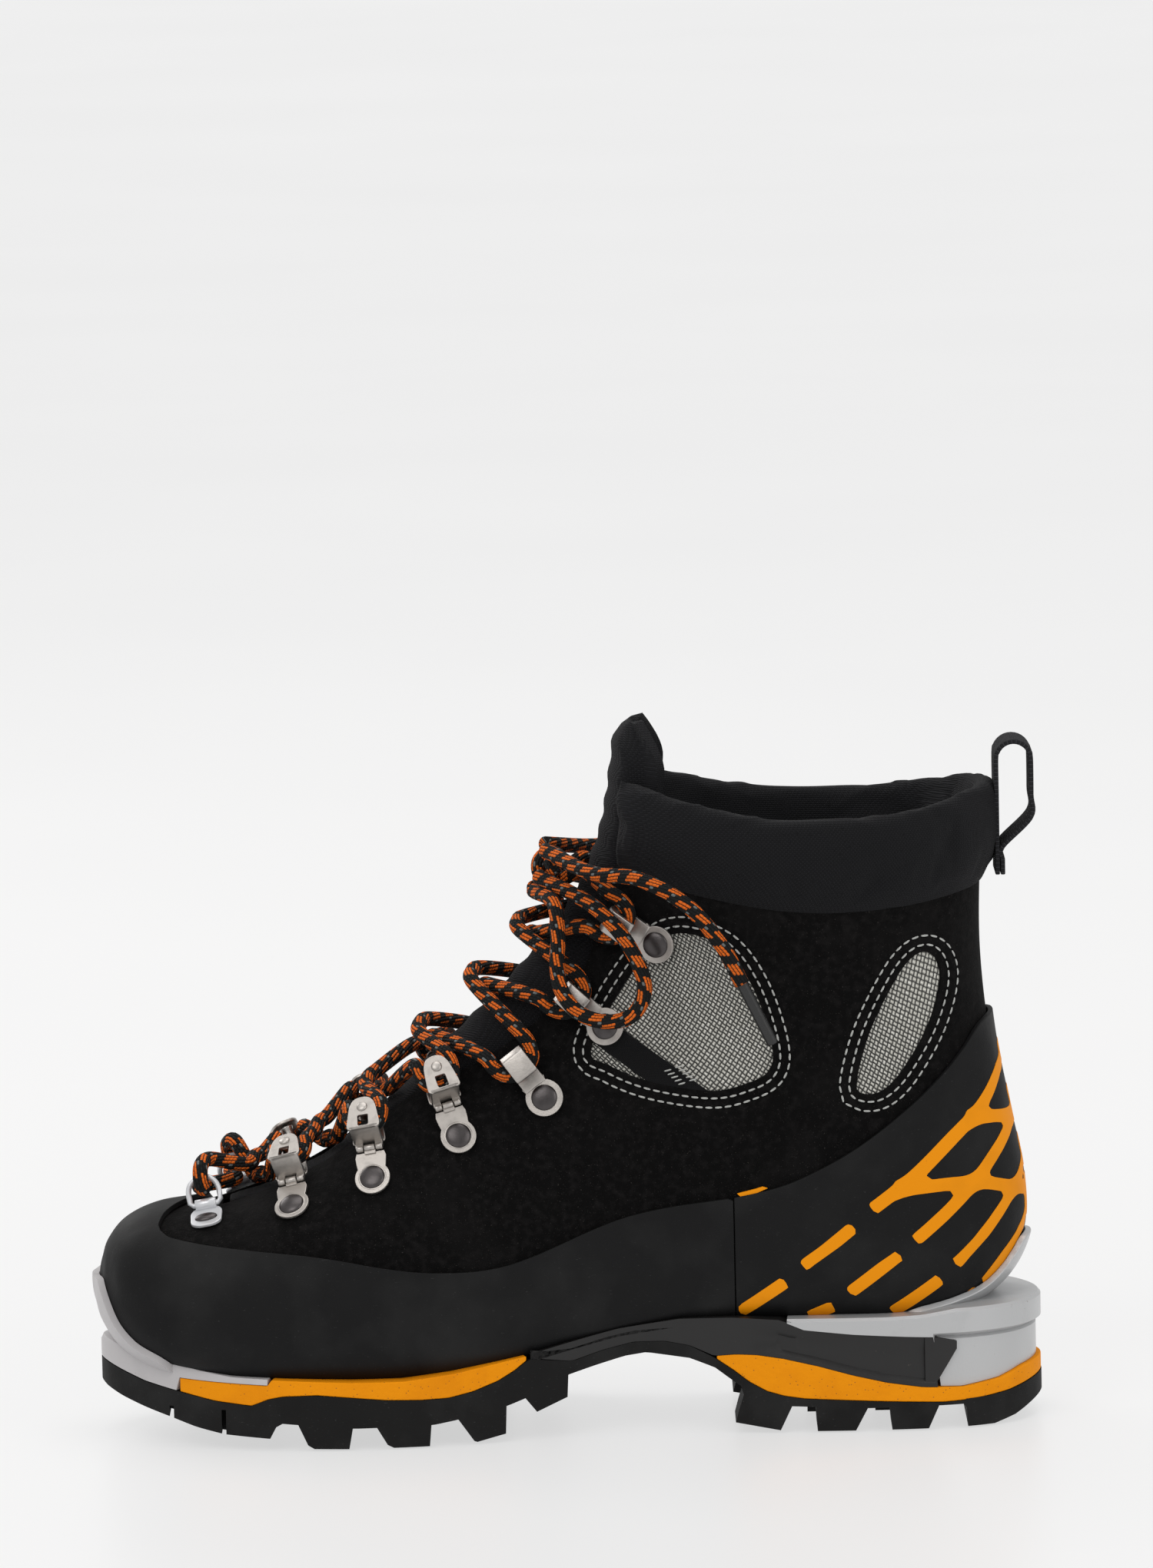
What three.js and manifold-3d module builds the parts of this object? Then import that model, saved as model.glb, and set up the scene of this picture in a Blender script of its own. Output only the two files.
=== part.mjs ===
// Insulated mountaineering boot for the right foot, laced and tied.
// Millimetres. +Z up, toe towards -X, inner (medial) side towards -Y, floor at Z = 0.
import * as THREE from "three";
import { mergeVertices } from "three/addons/utils/BufferGeometryUtils.js";
import Module from "manifold-3d";

const wasm = await Module();
wasm.setup();

// ---- Driving dimensions ----
const length = 305; // outsole, toe to heel
const width = 106; // outsole, across the ball of the foot
const height = 226; // floor to the top of the tongue

const leather = 2; // thickness of the suede
const lining = 2.6; // thickness of the padded lining
const rand = 1.8; // thickness of the rubber rand
const gap = 0.4; // clearance between neighbouring layers
const laceDiameter = 5;
const plate = 1; // thickness of the pressed steel hardware
const rivetRadius = 4.2;
const rollerRadius = 2.2;
const axleRadius = 0.85;
const ringWire = 1.8; // diameter of the toe ring's wire
const lipThickness = 2.2; // crampon welt lips that rise against the rand

// The curves below are drawn for this size of boot and stretched to the driving dimensions.
const drawn = { length: 305, width: 106, height: 226 };
const X = (x) => (x * length) / drawn.length;
const Y = (y) => (y * width) / drawn.width;
const Z = (z) => (z * height) / drawn.height;
const MEDIAL = -1;
const LATERAL = 1;
const sides = { medial: MEDIAL, lateral: LATERAL };

// ---- Materials ----
const finish = (color, roughness, metalness = 0) =>
  new THREE.MeshStandardMaterial({ color, roughness, metalness });
const materials = {
  rubber: finish(0x1b1b1c, 0.75),
  orange: finish(0xe08a12, 0.8),
  grey: finish(0xc6c2c4, 0.6),
  silver: finish(0xb9babc, 0.4, 0.3),
  shankBlack: finish(0x242223, 0.6),
  suede: finish(0x121112, 0.95),
  mesh: finish(0xa6a79c, 0.9),
  lining: finish(0x2c2d2f, 0.95),
  padding: finish(0x191a1c, 0.9),
  board: finish(0x6e5a3c, 0.9),
  steel: finish(0xaaa59c, 0.4, 0.9),
  white: finish(0xe6e8ec, 0.4, 0.6),
  rivet: finish(0x4a484a, 0.35, 0.9),
  lace: finish(0x20211f, 0.9),
};

// ---- Solids ----
function solid(geometry) {
  const bare = new THREE.BufferGeometry();
  bare.setAttribute("position", geometry.getAttribute("position"));
  if (geometry.index) bare.setIndex(geometry.index);
  const merged = mergeVertices(bare, 1e-4);
  return new wasm.Manifold(
    new wasm.Mesh({
      numProp: 3,
      vertProperties: new Float32Array(merged.attributes.position.array),
      triVerts: new Uint32Array(merged.index.array),
    }),
  );
}

// A solid from hand-made facets, whichever way round they were listed.
function facetSolid(position, index) {
  const made = new THREE.BufferGeometry();
  made.setAttribute("position", new THREE.BufferAttribute(new Float32Array(position), 3));
  made.setIndex(index);
  const closed = solid(made);
  if (closed.volume() > 0) return closed;
  for (let i = 0; i < index.length; i += 3) [index[i], index[i + 1]] = [index[i + 1], index[i]];
  made.setIndex(index);
  return solid(made);
}

function largest(made) {
  return made.decompose().reduce((a, b) => (b.volume() > a.volume() ? b : a));
}

const group = new THREE.Group();

// Names a finished solid and puts it in the boot, drawn in place or in a local frame.
function add(name, made, material, frame = new THREE.Matrix4()) {
  const mesh = made.getMesh();
  const geometry = new THREE.BufferGeometry();
  geometry.setAttribute("position", new THREE.BufferAttribute(mesh.vertProperties, 3));
  geometry.setIndex(new THREE.BufferAttribute(mesh.triVerts, 1));
  geometry.computeVertexNormals();
  const node = new THREE.Mesh(geometry, material.clone());
  node.name = name;
  node.applyMatrix4(frame);
  group.add(node);
}

const shapeOf = (points) => new THREE.Shape(points.map(([a, b]) => new THREE.Vector2(a, b)));

// A side-view outline (x, z) extruded across the boot, from y0 to y1.
function sidePrism(points, y0 = -90, y1 = 90, steps = 1) {
  const made = new THREE.ExtrudeGeometry(shapeOf(points), { depth: y1 - y0, steps, bevelEnabled: false });
  return made.rotateX(Math.PI / 2).translate(0, y1, 0);
}

// A plan-view outline (x, y) extruded upwards, from z0 to z1.
function planPrism(points, z0, z1) {
  const made = new THREE.ExtrudeGeometry(shapeOf(points), { depth: z1 - z0, bevelEnabled: false });
  return solid(made.translate(0, 0, z0));
}

const box = (x0, x1, y0, y1, z0, z1) =>
  solid(
    new THREE.BoxGeometry(x1 - x0, y1 - y0, z1 - z0).translate((x0 + x1) / 2, (y0 + y1) / 2, (z0 + z1) / 2),
  );

const smoothCurve = (points) => new THREE.CatmullRomCurve3(points, false, "centripetal");

// A round tube along a smooth curve, closed at both ends.
function tube(curve, radius, steps, segments = 8) {
  const section = new THREE.Shape(new THREE.EllipseCurve(0, 0, radius, radius).getPoints(segments).slice(1));
  return solid(new THREE.ExtrudeGeometry(section, { steps, extrudePath: curve, curveSegments: 1 }));
}

// A round wire bent into a closed ring through the given points.
function wireRing(points, radius, segments = 6) {
  const count = points.length;
  const tangent = (i) => points[(i + 1) % count].clone().sub(points[(i + count - 1) % count]).normalize();
  let side = new THREE.Vector3(0, 1, 0.3).cross(tangent(0)).normalize();
  const position = [];
  for (let i = 0; i < count; i++) {
    const along = tangent(i);
    side = side.clone().sub(along.clone().multiplyScalar(side.dot(along))).normalize();
    const up = along.clone().cross(side);
    for (let k = 0; k < segments; k++) {
      const angle = (2 * Math.PI * k) / segments;
      const p = points[i].clone();
      p.addScaledVector(side, radius * Math.cos(angle)).addScaledVector(up, radius * Math.sin(angle));
      position.push(p.x, p.y, p.z);
    }
  }
  const index = [];
  for (let i = 0; i < count; i++) {
    const next = (i + 1) % count;
    for (let k = 0; k < segments; k++) {
      const j = (k + 1) % segments;
      index.push(i * segments + k, i * segments + j, next * segments + j);
      index.push(i * segments + k, next * segments + j, next * segments + k);
    }
  }
  return facetSolid(position, index);
}

// ---- The last: rings that stand upright at the toe and turn level at the cuff ----
// top x, top z, bottom x, bottom z, medial and lateral half-width, centre y,
// belly (height of the widest place, -1 to 1), roundness above and below it
const stations = [
  [-149.2, 56, -149.2, 44, 6, 6, -9, 0, 2, 2],
  [-147.3, 61.5, -147.3, 38, 13.5, 13.5, -9, -0.1, 2.1, 2.2],
  [-142, 67.5, -142, 31, 23.5, 21.5, -8.5, -0.2, 2.3, 2.5],
  [-132, 71.5, -132, 25.5, 33, 30.5, -7, -0.3, 2.4, 3],
  [-116, 73.3, -116, 22.3, 41, 39, -4.5, -0.35, 2.5, 4],
  [-97, 79, -97, 21, 46, 45, -2, -0.4, 2.6, 5],
  [-76, 89.5, -76, 20.4, 48.3, 49, 0, -0.45, 2.5, 5.5],
  [-60, 103, -50, 20.2, 46, 50, 0, -0.5, 2.3, 5.5],
  [-48, 115.5, -22, 23, 41, 47, 0, -0.5, 2.2, 5.5],
  [-38, 125, 8, 30.3, 36, 42, 0, -0.5, 2.1, 5.5],
  [-29, 133.5, 44, 35.2, 33.5, 37.5, 0, -0.45, 2.1, 5.5],
  [-20.5, 142, 82, 35, 33.5, 35.5, 0, -0.4, 2.1, 5],
  [-13, 150, 114, 35.8, 34, 35, 0, -0.35, 2.1, 4.5],
  [-6, 158, 135, 43.5, 34, 34.5, 0, -0.25, 2.1, 2.8],
  [0, 166, 145, 58, 34, 34.5, 0, -0.15, 2.2, 2.3],
  [5, 174.5, 145.6, 77, 34.5, 35, 0, -0.05, 2.2, 2.2],
  [9, 183.5, 141.5, 99, 36, 36.5, 0, 0, 2.2, 2.2],
  [12, 192.5, 137, 124, 38, 38, 0, 0, 2.2, 2.2],
  [14, 202, 134.5, 152, 39.5, 39.5, 0, 0, 2.2, 2.2],
  [15.5, 212, 135, 180, 41, 41, 0, 0, 2.2, 2.2],
  [17, 224, 137, 203, 42, 42, 0, 0, 2.2, 2.2],
  [18.5, 238, 140, 226, 43, 43, 0, 0, 2.2, 2.2],
];
const lastStation = stations.length - 1;

function spline(values, t) {
  const i = Math.min(Math.max(Math.floor(t), 0), values.length - 2);
  const u = t - i;
  const p1 = values[i];
  const p2 = values[i + 1];
  const p0 = i > 0 ? values[i - 1] : 2 * p1 - p2;
  const p3 = i + 2 < values.length ? values[i + 2] : 2 * p2 - p1;
  const a = 2 * p1 + (p2 - p0) * u;
  const b = (2 * p0 - 5 * p1 + 4 * p2 - p3) * u * u;
  const c = (3 * p1 - p0 - 3 * p2 + p3) * u * u * u;
  return (a + b + c) / 2;
}

const columns = stations[0].map((_, c) => stations.map((row) => row[c]));

function ringAt(s) {
  const [tx, tz, bx, bz, inner, outer, centre, belly, above, below] = columns.map((c) => spline(c, s));
  const top = new THREE.Vector3(X(tx), Y(centre), Z(tz));
  const bottom = new THREE.Vector3(X(bx), Y(centre), Z(bz));
  const half = { [MEDIAL]: Y(inner), [LATERAL]: Y(outer) };
  return { top, bottom, half, belly, above, below };
}

const curveSamples = 40;

// One side of a ring, bottom to top, as points with the distance run so far.
function halfRing(s, side) {
  const ring = ringAt(s);
  const middle = ring.top.clone().add(ring.bottom).multiplyScalar(0.5);
  const up = ring.top.clone().sub(ring.bottom).multiplyScalar(0.5);
  const points = [];
  let run = 0;
  for (let k = 0; k <= curveSamples; k++) {
    const angle = (Math.PI * k) / curveSamples;
    const upper = angle > Math.PI / 2;
    const power = 2 / (upper ? ring.above : ring.below);
    const rise = Math.abs(Math.cos(angle)) ** power;
    const height = upper ? ring.belly + (1 - ring.belly) * rise : ring.belly - (1 + ring.belly) * rise;
    const out = ring.half[side] * Math.max(Math.sin(angle), 0) ** power;
    const p = middle.clone().addScaledVector(up, height);
    p.y += side * out;
    if (k) run += p.distanceTo(points[k - 1].p);
    points.push({ p, run });
  }
  return points;
}

// The point at a share of the way up one side of a ring.
function onHalf(points, share) {
  const wanted = share * points[points.length - 1].run;
  let k = 1;
  while (k < points.length - 1 && points[k].run < wanted) k++;
  const a = points[k - 1];
  const b = points[k];
  return a.p.clone().lerp(b.p, (wanted - a.run) / Math.max(b.run - a.run, 1e-9));
}

const surface = (s, share, side) => onHalf(halfRing(s, side), share);

// Position, outward normal, direction up towards the lacing and direction along the boot.
function surfaceFrame(s, share, side) {
  const step = 0.01;
  const p = surface(s, share, side);
  const up = surface(s, Math.min(share + step, 1), side)
    .sub(surface(s, share - step, side))
    .normalize();
  const on = surface(s + 0.05, share, side)
    .sub(surface(s - 0.05, share, side))
    .normalize();
  const normal = new THREE.Vector3().crossVectors(up, on).multiplyScalar(side).normalize();
  if (normal.y * side < 0) normal.negate();
  return { p, up, normal };
}

// The station and share where the surface passes through a place in the side view.
function locate(x, z, side) {
  let best = { distance: Infinity };
  const look = (s0, s1, f0, f1, count) => {
    for (let i = 0; i <= count; i++) {
      const s = s0 + ((s1 - s0) * i) / count;
      const half = halfRing(s, side);
      for (let j = 0; j <= count; j++) {
        const f = f0 + ((f1 - f0) * j) / count;
        const p = onHalf(half, f);
        const distance = Math.hypot(p.x - X(x), p.z - Z(z));
        if (distance < best.distance) best = { distance, s, f };
      }
    }
  };
  look(2, 20, 0.3, 0.99, 60);
  look(best.s - 0.3, best.s + 0.3, best.f - 0.012, best.f + 0.012, 24);
  return best;
}

// The last's volume, grown outwards by an offset (or shrunk, if it is negative).
function sock(offset, rings = 28, perSide = 9) {
  const around = 2 * perSide;
  const grid = [];
  for (let i = 0; i <= rings; i++) {
    const s = (lastStation * i) / rings;
    const halves = { [MEDIAL]: halfRing(s, MEDIAL), [LATERAL]: halfRing(s, LATERAL) };
    const row = [];
    for (let j = 0; j < around; j++) {
      const side = j <= perSide ? MEDIAL : LATERAL;
      row.push(onHalf(halves[side], (j <= perSide ? j : around - j) / perSide));
    }
    grid.push(row);
  }
  const normalAt = (i, j) => {
    const on = grid[Math.min(i + 1, rings)][j].clone().sub(grid[Math.max(i - 1, 0)][j]);
    const round = grid[i][(j + 1) % around].clone().sub(grid[i][(j + around - 1) % around]);
    return on.cross(round).normalize();
  };
  const position = [];
  for (let i = 0; i <= rings; i++)
    for (let j = 0; j < around; j++) {
      const p = grid[i][j].clone().addScaledVector(normalAt(i, j), offset);
      position.push(p.x, p.y, p.z);
    }
  const tip = grid[0].reduce((a, p) => a.add(p), new THREE.Vector3()).divideScalar(around);
  const rim = grid[rings].reduce((a, p) => a.add(p), new THREE.Vector3()).divideScalar(around);
  const tipIndex = position.length / 3;
  position.push(tip.x - 0.5 - offset, tip.y, tip.z, rim.x, rim.y, rim.z);
  const index = [];
  for (let j = 0; j < around; j++) {
    const k = (j + 1) % around;
    index.push(tipIndex, j, k);
    for (let i = 0; i < rings; i++) {
      index.push(i * around + j, (i + 1) * around + j, (i + 1) * around + k);
      index.push(i * around + j, (i + 1) * around + k, i * around + k);
    }
    index.push(tipIndex + 1, rings * around + k, rings * around + j);
  }
  return facetSolid(position, index);
}

const shell = (outer, inner) => sock(outer).subtract(sock(inner));

// A strip that follows the top of the last, from station s0 to s1.
function ribbon(s0, s1, halfWidth, above, below) {
  const steps = 24;
  const position = [];
  for (let i = 0; i <= steps; i++) {
    const s = s0 + ((s1 - s0) * i) / steps;
    const ring = ringAt(s);
    const up = ring.top.clone().sub(ring.bottom).normalize();
    const w = halfWidth(s);
    for (const [y, n] of [[-w, above], [w, above], [w, -below], [-w, -below]]) {
      const p = ring.top.clone().addScaledVector(up, n);
      position.push(p.x, p.y + y, p.z);
    }
  }
  const index = [];
  for (let i = 0; i < steps; i++)
    for (let k = 0; k < 4; k++) {
      const j = (k + 1) % 4;
      index.push(4 * i + k, 4 * i + j, 4 * (i + 1) + j, 4 * i + k, 4 * (i + 1) + j, 4 * (i + 1) + k);
    }
  const last = 4 * steps;
  index.push(0, 2, 1, 0, 3, 2, last, last + 1, last + 2, last, last + 2, last + 3);
  return facetSolid(position, index);
}

// ---- Outlines ----
const scaled = (points) => points.map(([x, z]) => [X(x), Z(z)]);
const shifted = (points, dz) => points.map(([x, z]) => [x, z + dz]);

function closedCurve(points, count) {
  const curve = new THREE.CatmullRomCurve3(
    points.map(([x, y]) => new THREE.Vector3(X(x), Y(y), 0)),
    true,
    "centripetal",
  );
  return curve.getSpacedPoints(count).slice(0, count).map((p) => [p.x, p.y]);
}

// The sole seen from above, heel first and then the medial side.
const soleMedial = [
  [152.5, 0], [149.5, -14], [141, -26], [125, -34.5], [100, -37.5], [70, -37], [40, -34.5], [10, -35.5],
  [-20, -42.5], [-45, -49.5], [-70, -52], [-95, -50.5], [-115, -45], [-131, -35.5], [-143, -24], [-150, -14],
];
const soleLateral = [
  [-152.5, -5], [-150.5, 4], [-143, 15], [-130, 26.5], [-112, 38], [-90, 47.5], [-65, 53.5], [-40, 54],
  [-20, 51], [10, 44], [40, 40], [70, 38.5], [100, 38.5], [125, 35], [141, 26.5], [149.5, 14],
];
const soleOutline = [...soleMedial, ...soleLateral];

const turning = (points) => (THREE.ShapeUtils.area(shapeOf(points).getPoints()) > 0 ? -1 : 1);

// An outline moved inwards by a distance.
function inset(points, distance) {
  const inwards = turning(points) * distance;
  return points.map(([x, y], i) => {
    const [ax, ay] = points[(i + points.length - 1) % points.length];
    const [bx, by] = points[(i + 1) % points.length];
    const run = Math.hypot(bx - ax, by - ay);
    return [x + (inwards * (by - ay)) / run, y - (inwards * (bx - ax)) / run];
  });
}

const outline = closedCurve(soleOutline, 56);

// The sole is wider on the lateral side, so the finished boot is moved to sit centred on Y = 0.
function centreLine() {
  const across = outline.map(([, y]) => y);
  return (Math.max(...across) + Math.min(...across)) / 2;
}
const plan = (distance, z0, z1) => planPrism(inset(outline, distance), z0, z1);

// Lines of the sole in the side view, toe to heel. Each line is where two parts meet.
const randFoot = scaled([
  [-96.4, 22.4], [-70.7, 21.3], [-54, 21.2], [-37.2, 22.9], [-26, 24.8], [-13.7, 27], [-3.7, 29.5],
  [15, 33.9], [34.7, 36.6], [52, 36.8], [66, 36], [101.5, 36], [112.7, 37], [124, 39],
]);
const frontRubberTop = scaled([
  [-126.5, 17.4], [-115, 15.2], [-103, 14], [-97.5, 16.2], [-93, 17.1], [-82, 17.5], [-70.8, 16.5],
  [-59.5, 15.4], [-48.5, 15], [-39.5, 15.2], [-31.8, 16.7], [-23.8, 19.5], [-18.3, 22.6], [-13.9, 26],
]);
const archTop = scaled([[0, 24.4], [10, 27.5], [20, 29.8], [30, 29.8], [38, 28.2]]);
const heelRubberTop = scaled([
  [45.5, 24.4], [52.5, 19.6], [57, 16.1], [62.5, 13.1], [68, 11.5], [74.8, 10.5], [101.5, 9.1], [119.5, 8.3],
  [129.5, 8.7], [140.8, 10.1], [153, 13],
]);
const heelOrangeTop = scaled([
  [45.8, 24.7], [52.5, 25.2], [59.3, 25], [68, 23.7], [79.2, 21.1], [90.5, 17.9], [101.5, 15.3],
  [112.8, 13.5], [126, 12.9], [138.5, 14.6], [146, 17.1], [153, 18.2],
]);
const heelInsert = scaled([
  [74.8, 32.7], [90.5, 31.1], [107, 30], [122, 29.2], [125.8, 27.5], [124.5, 24], [116.6, 15.4],
]);
const toeWeltFoot = scaled([[-153, 24.3], [-145.5, 21.9], [-137.8, 19.6], [-126.8, 17.6]]);
const toeRubberFoot = scaled([
  [-153, 17], [-151, 15.5], [-145.5, 13.3], [-138.8, 11.3], [-129, 8.8], [-121, 6.4],
]);

// The rand's upper edge.
const randTop = scaled([
  [-160, 90], [-130.2, 90], [-130.4, 70.6], [-129.2, 68], [-124, 65.4], [-113, 63.6],
  [-97.5, 62.5], [-82, 61.5], [-70.8, 60], [-59.5, 57.7], [-48.5, 55.8], [-39.5, 55], [-29.5, 55],
  [-20.5, 56.3], [-11.5, 59], [-3.8, 62], [5.2, 65.8], [15, 69.5], [23.5, 71.8], [34.7, 73.9],
  [52.5, 76.2], [68, 79.6],
  [79.2, 84.2], [90.5, 90.2], [101.5, 97.8], [112.7, 107], [121.7, 115.8], [127, 122], [134, 130], [150, 134],
]);
const seamX = X(53); // the vertical seam between the front rand and the heel rand

// The toe is skewed: the lateral half of the rand's toe edge lies further back than the medial half.
function skew(geometry) {
  const at = geometry.getAttribute("position");
  for (let i = 0; i < at.count; i++) {
    const x = at.getX(i);
    const forward = THREE.MathUtils.clamp((X(-20) - x) / X(90), 0, 1);
    at.setX(i, x + 0.42 * forward * THREE.MathUtils.clamp(at.getY(i) + Y(20), -Y(12), Y(34)));
  }
  return geometry;
}

const randOutline = [...randTop, ...scaled([[160, 134], [160, 10], [-160, 10]])];
const randRegion = solid(skew(sidePrism(randOutline, -90, 90, 12)));

// ---- Sole ----
const soleTop = sock(rand + 2 * gap);
const body = plan(0, -1, Z(70));

function band(lower, upper, distance = 0) {
  const profile = [...lower, ...[...upper].reverse()];
  return solid(sidePrism(profile)).intersect(distance ? plan(distance, -1, Z(70)) : body);
}

const lugs = [
  [[-96.5, 12], [-95, 8.8], [-88, 9], [-85, 1.4], [-83, 0.2], [-71.8, 0], [-70.3, 8]],
  [[-63.6, 8], [-59.5, 1], [-57.5, 0], [-46, 0], [-45.3, 8]],
  [[-37.4, 9], [-31.8, 0.7], [-30.8, 0.3], [-21.6, 2.3], [-21.2, 13]],
  [[-16.4, 15], [-11.5, 8.7], [-1.6, 12.9], [-1, 24]],
  [[55.2, 15], [55, 11.8], [53.6, 7.4], [52.4, 3], [66.8, 0.4], [71.2, 9.5]],
  [[78.2, 9], [78.7, 0], [91, 0], [95.6, 8.5]],
  [[102, 8.5], [102.7, 0], [114.5, 0], [118.3, 8.2]],
];
const lugCore = 0.42; // share of the sole's width, in the middle, that the edge lugs leave free
const chevron = [[-82, 0.6], [-52, 0.6], [-52, 9], [-82, 9]];

function makeOutsole() {
  const underFront = scaled([
    [-95.5, 3.4], [-95, 8.6], [-70, 6.6], [-45, 6.8], [-37, 8], [-21, 11.3], [-12, 14.5], [-1, 20.2],
    [7, 22.6], [17, 25.4], [24, 26.4], [38, 24.2], [46, 21], [50.5, 17.6], [55, 14.4], [55.5, 8.4],
  ]);
  const underHeel = scaled([
    [71, 8.4], [95.5, 7.2], [126.7, 7.4], [127.2, 0], [136, 0], [143, 1.9], [153, 6.5],
  ]);
  const under = [...toeRubberFoot, ...scaled([[-112, 4.6]]), ...underFront, ...underHeel];
  const over = [...shifted(toeWeltFoot.slice(0, 3), -0.3), ...shifted(frontRubberTop, -0.3)];
  over.push(...shifted(archTop, -0.3), ...shifted(heelRubberTop, -0.3));
  let made = band(under, over);
  const core = planPrism(outline.map(([x, y]) => [x, y * lugCore]), -1, Z(70));
  for (const lug of lugs) made = made.add(solid(sidePrism(scaled(lug))).intersect(body).subtract(core));
  const heart = solid(sidePrism(scaled(chevron), Y(-13), Y(13)));
  made = made.add(heart);
  return largest(made.subtract(soleTop));
}

function makeToeWelt() {
  const top = scaled([[-153, 31], [-143, 28.6], [-128.7, 27], [-121, 24.9], [-109.7, 23.2], [-96.6, 22.6]]);
  const foot = [...toeWeltFoot, ...scaled([[-126.8, 22.1], [-96.6, 20.9]])];
  const ledge = band(foot, top);
  const lipRegion = scaled([
    [-158, 26], [-158, 51.5], [-152, 51.3], [-147.7, 43.5], [-143, 37], [-136, 31.2], [-127, 26.4],
    [-127, 22],
  ]);
  const lip = sock(rand + 2 * gap + lipThickness).intersect(solid(skew(sidePrism(lipRegion, -90, 90, 12))));
  return largest(ledge.add(lip.intersect(plan(0, -1, Z(70)))).subtract(soleTop));
}

function makeHeelWelt() {
  const low = shifted(heelOrangeTop.filter(([x]) => x > X(113.5)), 0.3);
  const insertTop = shifted(heelInsert.slice(0, 6), 0.3);
  const foot = [...scaled([[68, 35.7]]), ...insertTop, ...scaled([[116.9, 15.6]]), ...low];
  const top = scaled([[68, 36.4], [101.5, 36.4], [112.7, 37], [124, 38.6], [153, 38.6]]);
  const block = band(foot, top);
  const groove = plan(0, Z(29.2), Z(30.8)).subtract(plan(1.4, Z(29), Z(31)));
  const lipRegion = scaled([
    [112, 30], [112.7, 37], [124, 39.4], [134, 42.6], [140.7, 48], [145, 53.4], [160, 57], [160, 30],
  ]);
  const lip = sock(rand + 2 * gap + lipThickness).intersect(solid(sidePrism(lipRegion)));
  const backGroove = groove.intersect(box(X(118), X(160), -90, 90, 0, Z(60)));
  return largest(block.subtract(backGroove).add(lip).subtract(soleTop));
}

const insertGap = 0.8; // between the arch frame and the heel welt behind it
function makeArchFrame() {
  const foot = [...scaled([[-13.6, 26.3]]), ...shifted(archTop, 0.1)];
  foot.push(...shifted(heelOrangeTop.filter(([x]) => x < X(113.5)), 0.3));
  const back = [...heelInsert.slice(0, 6)].reverse().map(([x, z]) => [x - insertGap, z - 0.1]);
  const top = randFoot.filter(([x]) => x >= X(-14) && x < X(67));
  const profile = [...foot, [X(116.9) - insertGap, Z(15.6)], ...back, ...[...top].reverse()];
  return largest(solid(sidePrism(profile)).intersect(body).subtract(soleTop));
}

add("outsole", makeOutsole(), materials.rubber);
const frontTop = [
  ...scaled([[-126.4, 21.8], [-96.2, 20.6], [-96.2, 22.3]]),
  ...randFoot.filter(([x]) => x > X(-96) && x < X(-13)),
];
add("midsole_front", largest(band(frontRubberTop, frontTop).subtract(soleTop)), materials.orange);
add("midsole_heel", band(heelRubberTop, heelOrangeTop), materials.orange);
add("arch_frame", makeArchFrame(), materials.shankBlack);
add("toe_welt", makeToeWelt(), materials.grey);
add("heel_welt", makeHeelWelt(), materials.silver);

// ---- Upper ----
const throatFront = 4.2; // station where the lacing opening starts
const throat = (s) => Y(THREE.MathUtils.clamp(9 + 1.9 * (s - throatFront), 9, 18));
const throatDepth = 27;
const throatCut = ribbon(throatFront, lastStation, throat, 14, throatDepth);

// Side-view lines of the cuff, front to back: the seam under the collar and the collar's top edge.
const cuffSeam = scaled([[-30, 186], [8, 184], [40, 176], [75, 170], [110, 171], [150, 178]]);
const collarTop = scaled([[-30, 214], [10, 211], [40, 203], [75, 197], [110, 198], [150, 206]]);
const overhead = [[X(150), Z(260)], [X(-30), Z(260)]];
const regionAbove = (line, dz = 0) => solid(sidePrism([...shifted(line, dz), ...overhead]));

// Windows in the ankle, filled with mesh.
const windows = [
  [
    [8, 124], [13.5, 119], [27, 113.6], [46, 110.6], [57, 112.6], [65, 117], [66, 126], [60, 145], [50, 158],
    [34, 161], [20, 146],
  ],
  [[93, 112], [95, 109], [101, 109.5], [108, 116], [117, 131], [121, 146], [117, 154], [109, 150], [98, 130]],
];
const windowPrism = (points, distance) => solid(sidePrism(inset(scaled(points), distance)));

let suede = shell(0, -leather).subtract(throatCut).subtract(regionAbove(cuffSeam));
for (const points of windows) suede = suede.subtract(windowPrism(points, 0));
add("suede_upper", largest(suede), materials.suede);

const meshLayer = shell(-0.5, -leather + 0.2);
for (const [name, side] of Object.entries(sides))
  windows.forEach((points, i) => {
    const half = side === MEDIAL ? box(-200, 200, -100, 0, 0, 300) : box(-200, 200, 0, 100, 0, 300);
    const pane = meshLayer.intersect(windowPrism(points, gap)).intersect(half);
    add(`ankle_mesh_${["front", "rear"][i]}_${name}`, largest(pane), materials.mesh);
  });

const liningOuter = -leather - gap;
const liningInner = liningOuter - lining;
const liningCut = ribbon(throatFront, lastStation, throat, 14, throatDepth + 8);
const liningSolid = shell(liningOuter, liningInner).subtract(liningCut);
add("lining_bootie", largest(liningSolid.subtract(regionAbove(collarTop, -2))), materials.lining);

const collarZone = regionAbove(cuffSeam, gap).subtract(regionAbove(collarTop));
const collarBand = shell(1.6, -leather).intersect(collarZone);
const collarCut = ribbon(9, lastStation, (s) => throat(s) + 1.5, 16, throatDepth + 4);
add("collar_pad", largest(collarBand.subtract(collarCut)), materials.padding);

const tongueClear = 0.8;
function makeTongue() {
  const middle = shell(0.2, liningInner - 4);
  const under = shell(liningInner - gap - 0.3, liningInner - 4);
  const narrow = ribbon(throatFront + 0.12, 20.3, (s) => throat(s) - tongueClear, 16, throatDepth - 3);
  const wide = ribbon(throatFront + 0.5, 20.25, (s) => throat(s) + 7, 16, throatDepth + 4);
  return largest(middle.intersect(narrow).add(under.intersect(wide)));
}
add("tongue", makeTongue(), materials.padding);

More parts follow.
